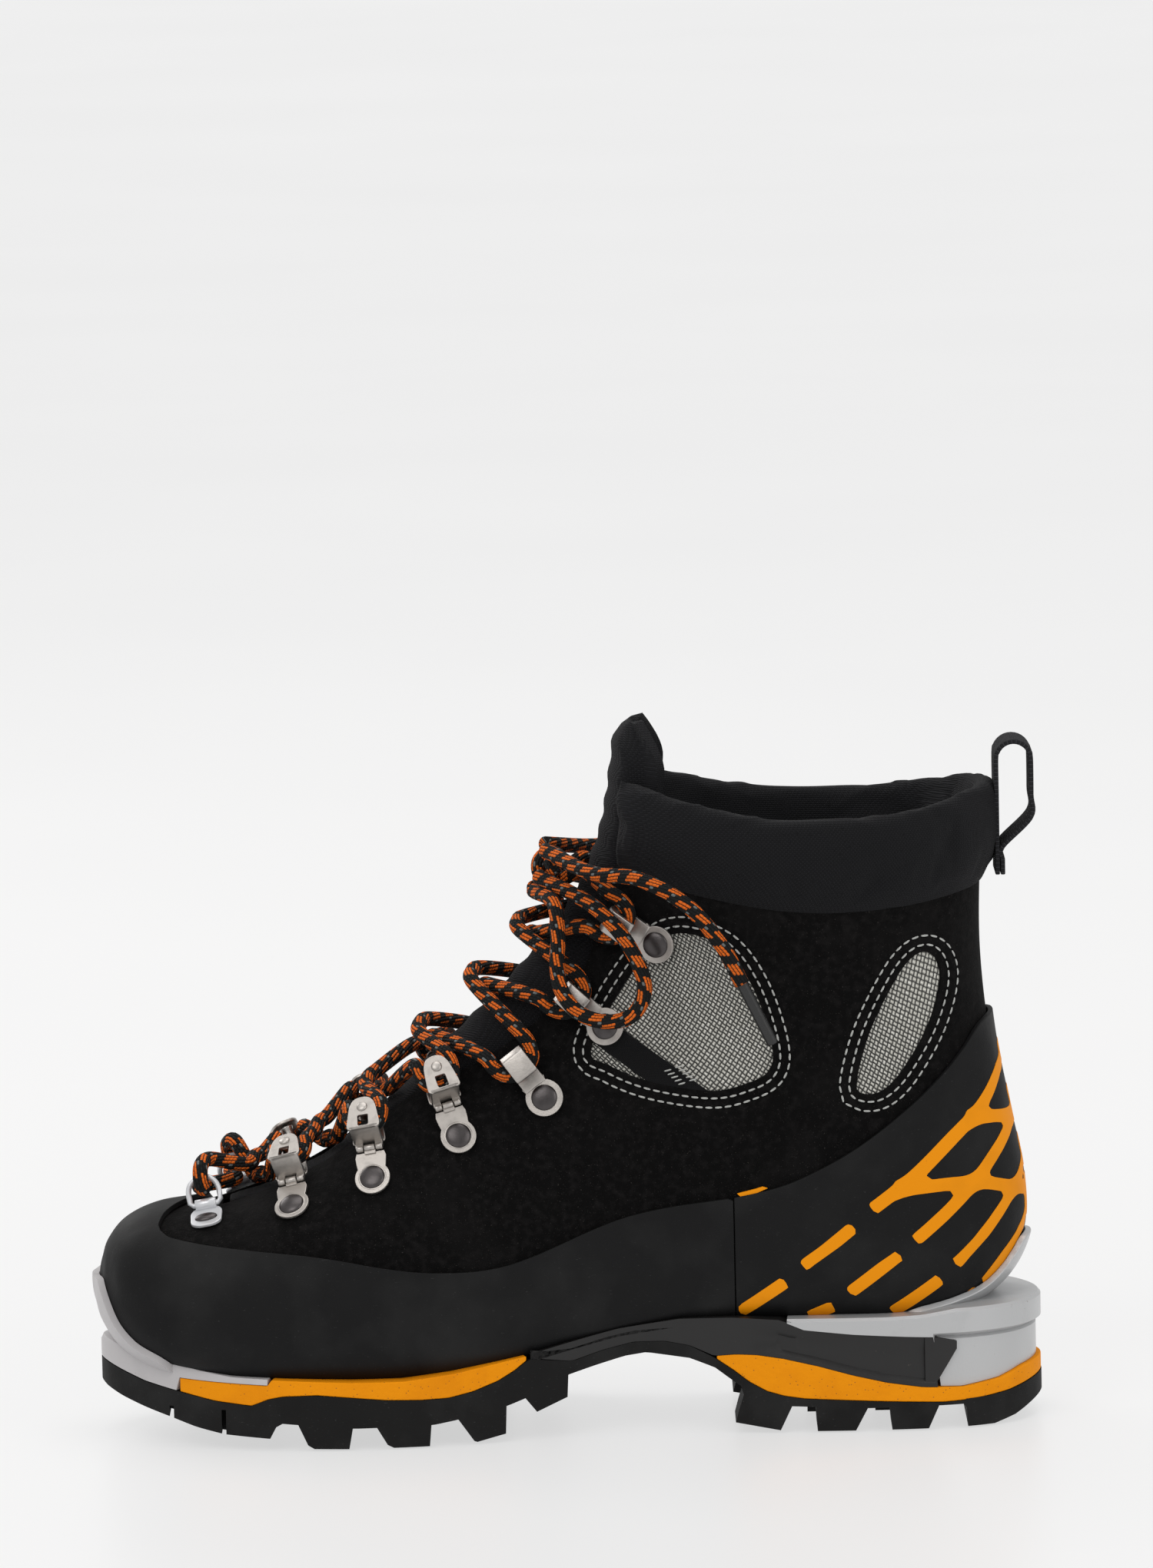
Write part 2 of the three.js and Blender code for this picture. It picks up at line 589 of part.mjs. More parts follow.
// ---- Rand ----
const randLayer = shell(gap + rand, gap).intersect(randRegion);
const lastingMargin = 13; // how far the rand turns in under the foot
const underfoot = plan(lastingMargin, 0, Z(45));
const randBand = randLayer.subtract(underfoot);
const toeSide = box(-200, seamX - 0.15, -100, 100, 0, 200);
const heelSide = box(seamX + 0.15, 200, -100, 100, 0, 200);
add("toe_rand", largest(randBand.intersect(toeSide)), materials.rubber);
add("heel_rand", largest(randBand.intersect(heelSide)), materials.rubber);

// ---- Under the foot ----
const shankInset = lastingMargin + 2;
const shankLayer = shell(rand + gap, gap).intersect(plan(shankInset, 0, Z(45)));
const shankReach = box(X(-95), X(112), -100, 100, 0, Z(45));
add("shank_plate", largest(shankLayer.intersect(shankReach)), materials.shankBlack);

const boardThickness = 1.8;
const footbedThickness = 3.5;
function floorLayer(from, thickness, distance) {
  const line = stations.slice(3, 14).map((row) => [X(row[2]), Z(row[3]) + from]);
  const profile = [...line, ...line.map(([x, z]) => [x, z + thickness]).reverse()];
  const inside = sock(liningInner - gap);
  return largest(solid(sidePrism(profile)).intersect(plan(distance, 0, Z(60))).intersect(inside));
}
const seatRise = leather + gap + lining + gap + 0.5;
add("insole_board", floorLayer(seatRise, boardThickness, 9), materials.board);
add("footbed", floorLayer(seatRise + boardThickness + gap, footbedThickness, 9), materials.lining);

// ---- Lacing hardware ----
// Local frame: +Y up the leather towards the lacing, +Z out of the leather, origin at the rivet.
function place(frame, lift) {
  const across = new THREE.Vector3().crossVectors(frame.up, frame.normal).normalize();
  const basis = new THREE.Matrix4().makeBasis(across, frame.up, frame.normal);
  const at = frame.p.clone().addScaledVector(frame.normal, lift);
  return new THREE.Matrix4().makeTranslation(at.x, at.y, at.z).multiply(basis);
}

const cylinder = (r, h, segments = 16) => new THREE.CylinderGeometry(r, r, h, segments).rotateX(Math.PI / 2);
const disc = (r, z0, z1, x = 0, y = 0, segments = 14) =>
  solid(cylinder(r, z1 - z0, segments).translate(x, y, (z0 + z1) / 2));
function rod(r, x0, x1, y, z, segments = 8) {
  const made = new THREE.CylinderGeometry(r, r, x1 - x0, segments).rotateZ(Math.PI / 2);
  return solid(made.translate((x0 + x1) / 2, y, z));
}

function outlinePlate(points, z0, z1) {
  const made = new THREE.ExtrudeGeometry(shapeOf(points), { depth: z1 - z0, bevelEnabled: false });
  return solid(made.translate(0, 0, z0));
}

const laceRadius = laceDiameter / 2;
const hingeY = 10.6; // hinge line above the rivet
const hingeZ = 1.5;
const backTop = hingeY + 2.5; // where the yoke's back plate ends
const wrapClearance = 0.45; // between a roller and the lace round it
const backClearance = 0.05; // between the lace and the yoke's back plate
const wrapRadius = rollerRadius + laceRadius + wrapClearance;
const axleY = backTop + backClearance + laceRadius + wrapRadius; // roller axle above the rivet
const channel = laceDiameter + 2.4; // free height between the yoke's plates
const yokeTop = axleY + 3.8;

function makeBase() {
  const neckOutline = [[-4.4, 0], [4.4, 0], [4.9, 7.6], [4.4, 9.1], [-4.4, 9.1], [-4.9, 7.6]];
  const neck = outlinePlate(neckOutline, 0, plate);
  const knuckle = rod(1.15, -1.7, 1.7, hingeY, hingeZ);
  const web = box(-1.7, 1.7, 8.6, hingeY, 0.4, 1.6);
  const head = solid(new THREE.SphereGeometry(rivetRadius, 12, 6).scale(1, 1, 0.3).translate(0, 0, plate));
  const bore = rod(axleRadius + 0.1, -3, 3, hingeY, hingeZ);
  return disc(5.6, 0, plate, 0, 0, 20).add(neck).add(head).add(web).add(knuckle).subtract(bore);
}

// The yoke, in the base's frame at rest.
function makeYoke() {
  const low = 1.1;
  const high = low + 0.8 + channel;
  const face = [
    [-5.2, hingeY + 1.7], [5.2, hingeY + 1.7], [5.2, hingeY + 3.5], [4.1, axleY + 0.6], [2.9, yokeTop - 0.9],
    [1.2, yokeTop], [-1.2, yokeTop], [-2.9, yokeTop - 0.9], [-4.1, axleY + 0.6], [-5.2, hingeY + 3.5],
  ];
  const window = box(-1.9, 1.9, hingeY + 2.6, axleY - 3, high - 1, high + 2);
  const outer = outlinePlate(face, high, high + plate).subtract(window);
  const inner = outlinePlate(face, low, low + 0.8);
  const back = box(-4.6, 4.6, backTop - 0.8, backTop, low, high + plate);
  const pin = disc(axleRadius, low, high + plate + 0.5, 0, axleY, 8);
  const headPin = disc(1.7, high + plate, high + plate + 0.6, 0, axleY, 10);
  let yoke = outer.add(inner).add(back).add(pin).add(headPin);
  for (const x of [-3.2, 3.2]) {
    yoke = yoke.add(rod(1.1, x - 1.1, x + 1.1, hingeY, hingeZ));
    yoke = yoke.add(box(x - 1.1, x + 1.1, hingeY, hingeY + 2, low, hingeZ + 0.9));
  }
  return yoke.add(rod(0.55, -3, 3, hingeY, hingeZ));
}

function makeRoller() {
  const z0 = 1.1 + 0.8 + gap;
  const z1 = 1.1 + 0.8 + channel - gap;
  const bore = disc(axleRadius + 0.35, z0 - 1, z1 + 1, 0, axleY, 8);
  return disc(rollerRadius, z0, z1, 0, axleY, 12).subtract(bore);
}

// Open hook: a riveted ring whose neck folds over towards the rivet.
const hookTop = 16.4;
const hookLip = 2 * plate + laceDiameter + 1.9;
const hookHalf = 4;
function makeHook() {
  const strip = [
    [4.5, 0], [hookTop - 0.8, 0], [hookTop + 1, 1.8], [hookTop + 1, hookLip - 2.4], [hookTop - 0.8, hookLip],
    [8.4, hookLip], [7.6, hookLip - 1], [hookTop - 1.4, hookLip - plate], [hookTop, hookLip - 2.6],
    [hookTop, 2.2], [hookTop - 1.2, plate], [4.5, plate],
  ];
  const bent = new THREE.ExtrudeGeometry(shapeOf(strip), { depth: 2 * hookHalf, bevelEnabled: false });
  bent.applyMatrix4(new THREE.Matrix4().set(0, 0, 1, -hookHalf, 1, 0, 0, 0, 0, 1, 0, 0, 0, 0, 0, 1));
  return disc(5.9, 0, plate, 0, 0, 20).add(solid(bent));
}
const rivetFoot = plate + 0.15;
const makeRivet = () =>
  solid(new THREE.SphereGeometry(rivetRadius, 12, 6).scale(1, 1, 0.3).translate(0, 0, rivetFoot))
    .intersect(disc(6, rivetFoot, 5));

// Toe eyelet: a riveted plate that curls round the straight side of a D ring.
const ringAngle = THREE.MathUtils.degToRad(55);
const ringLength = laceDiameter + 4;
const curlY = 6.6;
const curlZ = 1.9;
function makeToePlate() {
  const leafOutline = [
    [-4.8, -3.6], [-2.5, -5.4], [2.5, -5.4], [4.8, -3.6], [5, 3.5], [3.6, curlY - 0.6], [-3.6, curlY - 0.6],
    [-5, 3.5],
  ];
  const leaf = outlinePlate(leafOutline, 0, plate);
  const bore = rod(ringWire / 2 + 0.3, -4, 4, curlY, curlZ, 12);
  const curl = rod(1.9, -3.4, 3.4, curlY, curlZ, 12).subtract(bore);
  const head = solid(new THREE.SphereGeometry(3.3, 10, 4).scale(1, 0.75, 0.3).translate(0, -0.8, plate));
  return leaf.subtract(rod(1.6, -3.5, 3.5, curlY, curlZ, 12)).add(curl).add(head);
}
function makeToeRing() {
  const points = [];
  const half = 5;
  for (let k = 0; k <= 8; k++) {
    const angle = (Math.PI * k) / 8;
    const out = ringLength - half + half * Math.sin(angle);
    points.push([half * Math.cos(angle), out]);
  }
  points.push([-half, 0], [-half / 2, 0], [half / 2, 0], [half, 0]);
  const path = points.map(
    ([x, out]) => new THREE.Vector3(x, curlY + out * Math.cos(ringAngle), curlZ + out * Math.sin(ringAngle)),
  );
  return wireRing(path, ringWire / 2);
}

// Rivet positions in the side view, from the toe up.
const toeSpots = { [MEDIAL]: [-116.5, 70.6], [LATERAL]: [-106.5, 72.6] };
const pulleySpots = [[-88.5, 75.6], [-62.5, 84.5], [-35, 97]];
const hookSpots = [[-7, 108.5], [13, 131], [30, 158]];
const yokeTilt = THREE.MathUtils.degToRad(-9);

function spotFrame(spot, side) {
  const { s, f } = locate(spot[0], spot[1], side);
  return surfaceFrame(s, f, side);
}

const stops = { [MEDIAL]: [], [LATERAL]: [] }; // where the lace turns on each side, from the toe up
for (const [name, side] of Object.entries(sides)) {
  const toe = place(spotFrame(toeSpots[side], side), 0.6);
  add(`toe_eyelet_${name}`, makeToePlate(), materials.white, toe);
  add(`toe_ring_${name}`, makeToeRing(), materials.white, toe);
  stops[side].push({ kind: "ring", matrix: toe });
  pulleySpots.forEach((spot, i) => {
    const base = place(spotFrame(spot, side), 0.7);
    const hinge = new THREE.Matrix4().makeTranslation(0, hingeY, hingeZ);
    const tilt = hinge.clone().multiply(new THREE.Matrix4().makeRotationX(yokeTilt)).multiply(hinge.invert());
    const yoke = base.clone().multiply(tilt);
    add(`pulley_base_${i + 1}_${name}`, makeBase(), materials.steel, base);
    add(`pulley_yoke_${i + 1}_${name}`, makeYoke(), materials.steel, yoke);
    add(`pulley_roller_${i + 1}_${name}`, makeRoller(), materials.rivet, yoke);
    stops[side].push({ kind: "pulley", matrix: yoke });
  });
  hookSpots.forEach((spot, i) => {
    const matrix = place(spotFrame(spot, side), i ? 0.6 : 0.8);
    const title = i ? `cuff_hook_${i}` : "lock_hook";
    const made = i ? makeHook().add(makeRivet()).add(disc(2, 0, 2)) : makeHook();
    add(`${title}_${name}`, made, materials.steel, matrix);
    if (!i) add(`lock_hook_rivet_${name}`, makeRivet(), materials.rivet, matrix);
    stops[side].push({ kind: "hook", matrix });
  });
}

// ---- Lace ----
// The turn a lace takes at each kind of stop, in the stop's frame, entering from the toe side.
const mid = 1.1 + 0.8 + channel / 2;
const besideHook = hookHalf + laceRadius + 0.4;
const turns = {
  ring: [
    [-2, 17.5, 3.2], [-1, 14.2, 3.9], [-0.5, 11.6, 5.2], [0, 9.4, 6.2], [0, 7.7, 9.3], [0.5, 9.4, 12.6],
    [1, 11.8, 13.4], [3, 17, 12.4],
  ],
  pulley: [-1, -0.5, 0, 0.5, 1].map((t) => {
    const angle = (t * Math.PI) / 2;
    return [wrapRadius * Math.sin(angle), axleY - wrapRadius * Math.cos(angle), mid];
  }),
  hook: [
    [-besideHook, 17], [1.9 - besideHook, 12.4], [-2, 11], [2, 11], [besideHook - 1.9, 12.4], [besideHook, 17],
  ].map(([x, y]) => [x, y, hookLip / 2]),
};
const arms = {
  ring: null,
  pulley: [wrapRadius, axleY + 4.5, mid],
  hook: [besideHook, 21, hookLip / 2 + 0.35],
};

function turn(stop, side) {
  let points = turns[stop.kind].map((p) => [...p]);
  const arm = arms[stop.kind];
  if (arm) points = [[-arm[0], arm[1], arm[2]], ...points, arm];
  // On the lateral side the frame's +X points to the toe.
  const local = points.map(([x, y, z]) => new THREE.Vector3(side === MEDIAL ? x : -x, y, z));
  return local.map((p) => p.applyMatrix4(stop.matrix));
}

// A place above the middle of the tongue.
function overTongue(s, rise, y = 0) {
  const ring = ringAt(s);
  const before = ringAt(s - 0.1).top;
  const along = ringAt(s + 0.1).top.sub(before).normalize();
  const normal = new THREE.Vector3(-along.z, 0, along.x);
  return ring.top.clone().addScaledVector(normal, rise).add(new THREE.Vector3(0, y, 0));
}

const crossings = [4.95, 6.05, 7.2, 8.75, 10.7, 12.8]; // stations where the two strands cross
const lowRise = laceRadius + 1.2;
const highRise = lowRise + laceDiameter + 0.8;
const knotStation = 15.1;
const knotRise = 10;
const knotRadius = 7;

// A place beside the knot: up the tongue, out to a side, and away from the boot.
function byKnot(up, out, away, side) {
  const along = ringAt(knotStation + 0.1).top.sub(ringAt(knotStation - 0.1).top).normalize();
  const normal = new THREE.Vector3(-along.z, 0, along.x);
  return overTongue(knotStation, knotRise + away, side * out).addScaledVector(along, up);
}

// One strand from the toe rings up to the knot, starting on the given side.
function strand(start, over) {
  const points = [];
  let side = start;
  for (let i = 0; i < stops[MEDIAL].length; i++) {
    points.push(...turn(stops[side][i], side));
    if (i < crossings.length) {
      const rise = over === (i % 2 === 0) ? highRise : lowRise;
      for (const t of [-1, 0, 1]) {
        const lift = t ? rise - 0.8 : rise;
        points.push(overTongue(crossings[i] + 0.12 * t, lift, -side * 5.2 * t));
      }
      side = -side;
    }
  }
  points.push(byKnot(5, 14, -8.5, side), byKnot(0, 9.4, -5, side));
  return points;
}

const bridge = overTongue(4.52, laceRadius + 2.6);
const route = [...strand(MEDIAL, true).reverse(), bridge, ...strand(LATERAL, false)];
add("lace", tube(smoothCurve(route), laceRadius, 210), materials.lace);

const knotCentre = overTongue(knotStation, knotRise);
const knotShape = new THREE.IcosahedronGeometry(knotRadius, 2).scale(0.85, 1, 0.95);
add("lace_knot", solid(knotShape.translate(knotCentre.x, knotCentre.y, knotCentre.z)), materials.lace);

// Loops and tails lie on the lacing: station, share of the way up, and height under the lace.
function onLacing(list, side) {
  return list.map(([s, share, rise]) => {
    const { p, normal } = surfaceFrame(s, share, side);
    return p.addScaledVector(normal, rise + laceRadius);
  });
}

const loopRoute = [
  [15.3, 0.86, 10.5], [14.9, 0.8, 11.5], [14.1, 0.765, 12.5], [13.3, 0.765, 13.5], [12.6, 0.785, 13.5],
  [12.2, 0.82, 13.5], [12.3, 0.86, 13.5], [12.9, 0.89, 13.5], [13.7, 0.905, 13], [14.4, 0.93, 11.5],
];
const tailRoute = [
  [16.3, 0.87, 11.5], [17, 0.78, 12.5], [17, 0.69, 13.5], [16.5, 0.63, 13.5], [15.9, 0.6, 13],
];
const agletLength = 22;
const agletRadius = 1.9;
for (const [name, side] of Object.entries(sides)) {
  const loopEnds = [byKnot(-3.5, 8.6, 3, side), byKnot(-9, 3.4, 2, side)];
  const loop = smoothCurve([loopEnds[0], ...onLacing(loopRoute, side), loopEnds[1]]);
  add(`bow_loop_${name}`, tube(loop, laceRadius, 24), materials.lace);
  const tail = smoothCurve([byKnot(5, 7.6, 4.6, side), ...onLacing(tailRoute, side)]);
  add(`lace_tail_${name}`, tube(tail, laceRadius, 14), materials.lace);
  const heading = tail.getTangent(1);
  const [start, tip] = [0.4, agletLength].map((d) => tail.getPoint(1).addScaledVector(heading, d));
  add(`aglet_${name}`, tube(new THREE.LineCurve3(start, tip), agletRadius, 1, 10), materials.rivet);
}

// ---- Heel pull loop ----
function makePullLoop() {
  const at = ringAt(19.4).bottom;
  const half = 10; // half the webbing's width
  const rise = 30;
  const thick = 1.8;
  const reach = 13;
  const arch = (r) =>
    Array.from({ length: 9 }, (_, k) => {
      const angle = Math.PI * (1 - k / 8);
      return [reach / 2 + r * Math.cos(angle), rise - reach / 2 + r * Math.sin(angle)];
    });
  const profile = shapeOf([[0, -14], ...arch(reach / 2), [reach, 4], [2 * thick, -6], [2 * thick, -14]]);
  profile.holes.push(shapeOf([[reach - thick, 4.6], ...arch(reach / 2 - thick).reverse(), [thick, -2]]));
  const made = new THREE.ExtrudeGeometry(profile, { depth: 2 * half, bevelEnabled: false });
  return solid(made.rotateX(Math.PI / 2).translate(at.x + 3.8, half, at.z));
}
add("pull_loop", makePullLoop(), materials.rubber);

group.position.y = -centreLine();

export default group;
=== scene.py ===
"""Looks of the mountaineering boot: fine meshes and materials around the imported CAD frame.

Lengths are millimetres in the boot's own frame (toe at -X, cuff at +Z, medial side at -Y),
and become metres when a mesh is made.
"""

import math

import bmesh
import bpy
import numpy as np
from mathutils import Matrix, Vector


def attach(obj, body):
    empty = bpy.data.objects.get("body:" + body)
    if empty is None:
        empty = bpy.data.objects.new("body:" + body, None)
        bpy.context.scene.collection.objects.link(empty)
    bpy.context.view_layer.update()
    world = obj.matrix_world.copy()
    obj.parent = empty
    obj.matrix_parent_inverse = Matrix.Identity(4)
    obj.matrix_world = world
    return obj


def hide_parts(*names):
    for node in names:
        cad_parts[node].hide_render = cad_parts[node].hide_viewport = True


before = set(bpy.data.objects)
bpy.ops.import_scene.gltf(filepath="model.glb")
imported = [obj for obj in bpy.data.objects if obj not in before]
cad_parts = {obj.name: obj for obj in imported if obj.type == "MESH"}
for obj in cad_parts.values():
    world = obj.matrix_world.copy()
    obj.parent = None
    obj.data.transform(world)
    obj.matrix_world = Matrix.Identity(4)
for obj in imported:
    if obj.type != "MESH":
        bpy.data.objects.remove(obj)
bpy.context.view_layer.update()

MM = 0.001
MEDIAL, LATERAL = -1, 1
SIDES = {"medial": MEDIAL, "lateral": LATERAL}
CENTRE_Y = 1.19  # the sole's middle line lies this far to the lateral side of the last's

RAND_OUT = 2.2  # the rand's outer face, above the leather's
LIP_OUT = 4.6  # the outer face of the welts' lips
LACE_RADIUS = 2.5
LACE_TUBE = LACE_RADIUS * 0.98  # the drawn lace is a hair thinner than the CAD's
CHANNEL = 7.4  # free height between a yoke's plates
ROLLER_RADIUS = 2.2
WRAP_RADIUS = ROLLER_RADIUS + LACE_RADIUS + 0.45


# ---------------------------------------------------------------- lines and grids
def unit(vector):
    return vector / np.linalg.norm(vector)


def run_along(points):
    """Distance from a line's first point to each of its points."""
    return np.concatenate([[0], np.cumsum(np.linalg.norm(np.diff(points, axis=0), axis=1))])


def spline(p0, p1, p2, p3, u):
    """A place between p1 (u is 0) and p2 (u is 1) on a smooth curve through four points."""
    a = 2 * p1 + (p2 - p0) * u
    b = (2 * p0 - 5 * p1 + 4 * p2 - p3) * u**2
    c = (3 * p1 - p0 - 3 * p2 + p3) * u**3
    return (a + b + c) / 2


def grid_faces(rows, columns):
    """Faces of a sheet whose points are given row by row."""
    corners = [i * columns + j for i in range(rows - 1) for j in range(columns - 1)]
    return [(c, c + columns, c + columns + 1, c + 1) for c in corners]


def tube_faces(rings, segments, closed=False):
    """Faces of a tube whose points are given ring by ring, with flat ends unless it is closed."""
    faces = []
    for i in range(rings if closed else rings - 1):
        n = (i + 1) % rings
        for k in range(segments):
            j = (k + 1) % segments
            faces.append((i * segments + k, i * segments + j, n * segments + j, n * segments + k))
    if not closed:
        faces.append(tuple(range(segments))[::-1])
        faces.append(tuple(range((rings - 1) * segments, rings * segments)))
    return faces


# ---------------------------------------------------------------- materials
class Nodes:
    """Builds one procedural material, node by node."""

    def __init__(self, name, color, roughness, metallic=0.0, **sockets):
        self.material = bpy.data.materials.new(name)
        self.material.use_nodes = True
        self.tree = self.material.node_tree
        self.shader = self.tree.nodes["Principled BSDF"]
        self.shader.inputs["Base Color"].default_value = (*color, 1)
        self.shader.inputs["Roughness"].default_value = roughness
        self.shader.inputs["Metallic"].default_value = metallic
        for socket, value in sockets.items():
            self.shader.inputs[socket.replace("_", " ")].default_value = value
        self.height = None

    def node(self, kind, **settings):
        made = self.tree.nodes.new(kind)
        for key, value in settings.items():
            setattr(made, key, value)
        return made

    def link(self, source, target):
        if isinstance(source, (int, float)):
            target.default_value = source
        else:
            self.tree.links.new(source, target)

    def math(self, operation, a, b=0.0):
        made = self.node("ShaderNodeMath", operation=operation)
        self.link(a, made.inputs[0])
        self.link(b, made.inputs[1])
        return made.outputs[0]

    def times(self, a, b):
        return self.math("MULTIPLY", a, b)

    def plus(self, a, b):
        return self.math("ADD", a, b)

    def humps(self, a):
        """One half wave over each whole step of a."""
        return self.math("SINE", self.times(self.math("FRACT", a), math.pi))

    def noise(self, scale, detail=3.0, stretch=None):
        place = self.node("ShaderNodeTexCoord").outputs["Object"]
        if stretch:
            mapping = self.node("ShaderNodeMapping")
            mapping.inputs["Scale"].default_value = stretch
            self.link(place, mapping.inputs["Vector"])
            place = mapping.outputs[0]
        made = self.node("ShaderNodeTexNoise")
        made.inputs["Scale"].default_value = scale
        made.inputs["Detail"].default_value = detail
        self.link(place, made.inputs["Vector"])
        return made.outputs["Fac"]

    def cells(self, scale):
        made = self.node("ShaderNodeTexVoronoi")
        made.inputs["Scale"].default_value = scale
        self.link(self.node("ShaderNodeTexCoord").outputs["Object"], made.inputs["Vector"])
        return made.outputs["Distance"]

    def uv(self):
        split = self.node("ShaderNodeSeparateXYZ")
        self.link(self.node("ShaderNodeUVMap").outputs[0], split.inputs[0])
        return split.outputs[0], split.outputs[1]

    def space(self):
        """Height, and distance along a slanted line across the boot, in millimetres."""
        split = self.node("ShaderNodeSeparateXYZ")
        self.link(self.node("ShaderNodeTexCoord").outputs["Object"], split.inputs[0])
        level = self.plus(split.outputs[0], self.times(split.outputs[1], 0.8))
        return self.times(split.outputs[2], 1000.0), self.times(level, 1000.0)

    def ramp(self, value, low, high):
        """0 below low, 1 above high."""
        made = self.node("ShaderNodeMapRange")
        self.link(value, made.inputs["Value"])
        made.inputs["From Min"].default_value = low
        made.inputs["From Max"].default_value = high
        return made.outputs[0]

    def blend(self, mask, other):
        """Mixes another colour over the base where the mask is 1."""
        mix = self.node("ShaderNodeMix", data_type="RGBA")
        base = self.shader.inputs["Base Color"]
        if base.is_linked:
            self.link(base.links[0].from_socket, mix.inputs["A"])
        else:
            mix.inputs["A"].default_value = base.default_value
        mix.inputs["B"].default_value = (*other, 1)
        self.link(mask, mix.inputs["Factor"])
        self.link(mix.outputs["Result"], base)
        return self

    def rough(self, value, low, high):
        made = self.node("ShaderNodeMapRange")
        self.link(value, made.inputs["Value"])
        made.inputs["To Min"].default_value = low
        made.inputs["To Max"].default_value = high
        self.link(made.outputs[0], self.shader.inputs["Roughness"])
        return self

    def bump(self, value, distance):
        """Adds relief, distance in millimetres."""
        made = self.node("ShaderNodeBump")
        made.inputs["Distance"].default_value = distance * MM
        self.link(value, made.inputs["Height"])
        if self.height:
            self.link(self.height, made.inputs["Normal"])
        self.height = made.outputs[0]
        self.link(self.height, self.shader.inputs["Normal"])
        return self


def suede():
    sheen = {"Sheen_Weight": 0.02, "Sheen_Roughness": 0.5}
    m = Nodes("suede", (0.0032, 0.003, 0.003), 0.95, Specular_IOR_Level=0.06, **sheen)
    m.blend(m.ramp(m.noise(420, 5), 0.46, 0.75), (0.0085, 0.0078, 0.0078))
    m.blend(m.ramp(m.noise(45, 3), 0.5, 0.8), (0.007, 0.0065, 0.0065))
    m.blend(m.ramp(m.noise(2600, 1), 0.7, 0.76), (0.035, 0.032, 0.03))
    return m.bump(m.noise(1700, 4), 0.28).bump(m.noise(260, 3), 0.35).material


def rubber(name, color=(0.006, 0.006, 0.0063), roughness=0.58, worn=0.03):
    m = Nodes(name, color, roughness, Specular_IOR_Level=0.15)
    m.blend(m.ramp(m.noise(38, 4), 0.48, 0.85), (color[0] + worn * 0.35,) * 3)
    m.blend(m.ramp(m.noise(900, 2, (1, 1, 3)), 0.68, 0.8), (worn,) * 3)
    m.rough(m.noise(120, 3), roughness - 0.08, roughness + 0.14)
    return m.bump(m.noise(1500, 3), 0.05).bump(m.noise(150, 2), 0.12).material


GREY_DIRT = (0.2, 0.19, 0.18)


def moulded(name, color, roughness, grain=0.04, metallic=0.0, dirt=GREY_DIRT, coat=0.0, gloss=0.4):
    m = Nodes(name, color, roughness, metallic, Coat_Weight=coat, Specular_IOR_Level=gloss)
    m.blend(m.ramp(m.noise(60, 4), 0.56, 0.9), tuple(c * 0.82 for c in color))
    m.blend(m.ramp(m.noise(700, 3), 0.72, 0.8), dirt)
    m.rough(m.noise(180, 3), roughness - 0.06, roughness + 0.1)
    return m.bump(m.noise(1100, 3), grain).material


ORANGE = (0.8, 0.27, 0.001)


def foam():
    m = Nodes("orange_foam", ORANGE, 0.72, Specular_IOR_Level=0.12)
    m.blend(m.ramp(m.noise(70, 3), 0.5, 0.85), (0.7, 0.22, 0.001))
    m.blend(m.ramp(m.cells(620), 0.16, 0.07), (0.34, 0.12, 0.015))
    return m.bump(m.noise(800, 3), 0.12).bump(m.cells(620), 0.1).material


def cloth(name, color, pitch, light=1.8, relief=0.25, solid=False):
    """Plain weave from the surface's own millimetre coordinates, or from the place in space."""
    m = Nodes(name, color, 0.92, Sheen_Weight=0.02, Specular_IOR_Level=0.15)
    along, around = m.space() if solid else m.uv()
    wave = [m.math("SINE", m.times(c, 2 * math.pi / pitch)) for c in (along, around)]
    weave = m.times(wave[0], wave[1])
    m.blend(m.ramp(weave, 0.1, 0.9), tuple(min(c * light, 1) for c in color))
    m.blend(m.ramp(m.noise(900, 3), 0.62, 0.75), tuple(c * 0.55 for c in color))
    return m.bump(m.math("ABSOLUTE", weave), relief).material


def coarse_mesh():
    m = Nodes("ankle_mesh", (0.60, 0.59, 0.53), 0.9)
    along, around = m.uv()
    pitch = 1.5
    threads = [m.times(c, 1 / pitch) for c in (along, around)]
    humps = [m.humps(t) for t in threads]
    index = [m.math("FLOOR", t) for t in threads]
    over = m.math("FLOORED_MODULO", m.plus(*index), 2.0)
    under = m.math("SUBTRACT", 1.0, over)
    height = m.plus(m.times(humps[0], over), m.times(humps[1], under))
    edge = m.times(humps[0], humps[1])
    m.blend(m.ramp(m.noise(520, 2), 0.45, 0.7), (0.78, 0.77, 0.71))
    # painted shade: the gaps between the mesh threads are darkened
    m.blend(m.ramp(edge, 0.42, 0.12), (0.07, 0.07, 0.065))
    return m.bump(height, 0.5).bump(edge, 0.4).material


def metal(name, color, roughness, brushed=0.03):
    m = Nodes(name, color, roughness, 1.0)
    m.blend(m.ramp(m.noise(300, 4), 0.5, 0.8), tuple(c * 0.72 for c in color))
    m.rough(m.noise(900, 3, (1, 1, 5)), roughness - 0.08, roughness + 0.16)
    return m.bump(m.noise(1400, 2, (1, 1, 4)), brushed).material


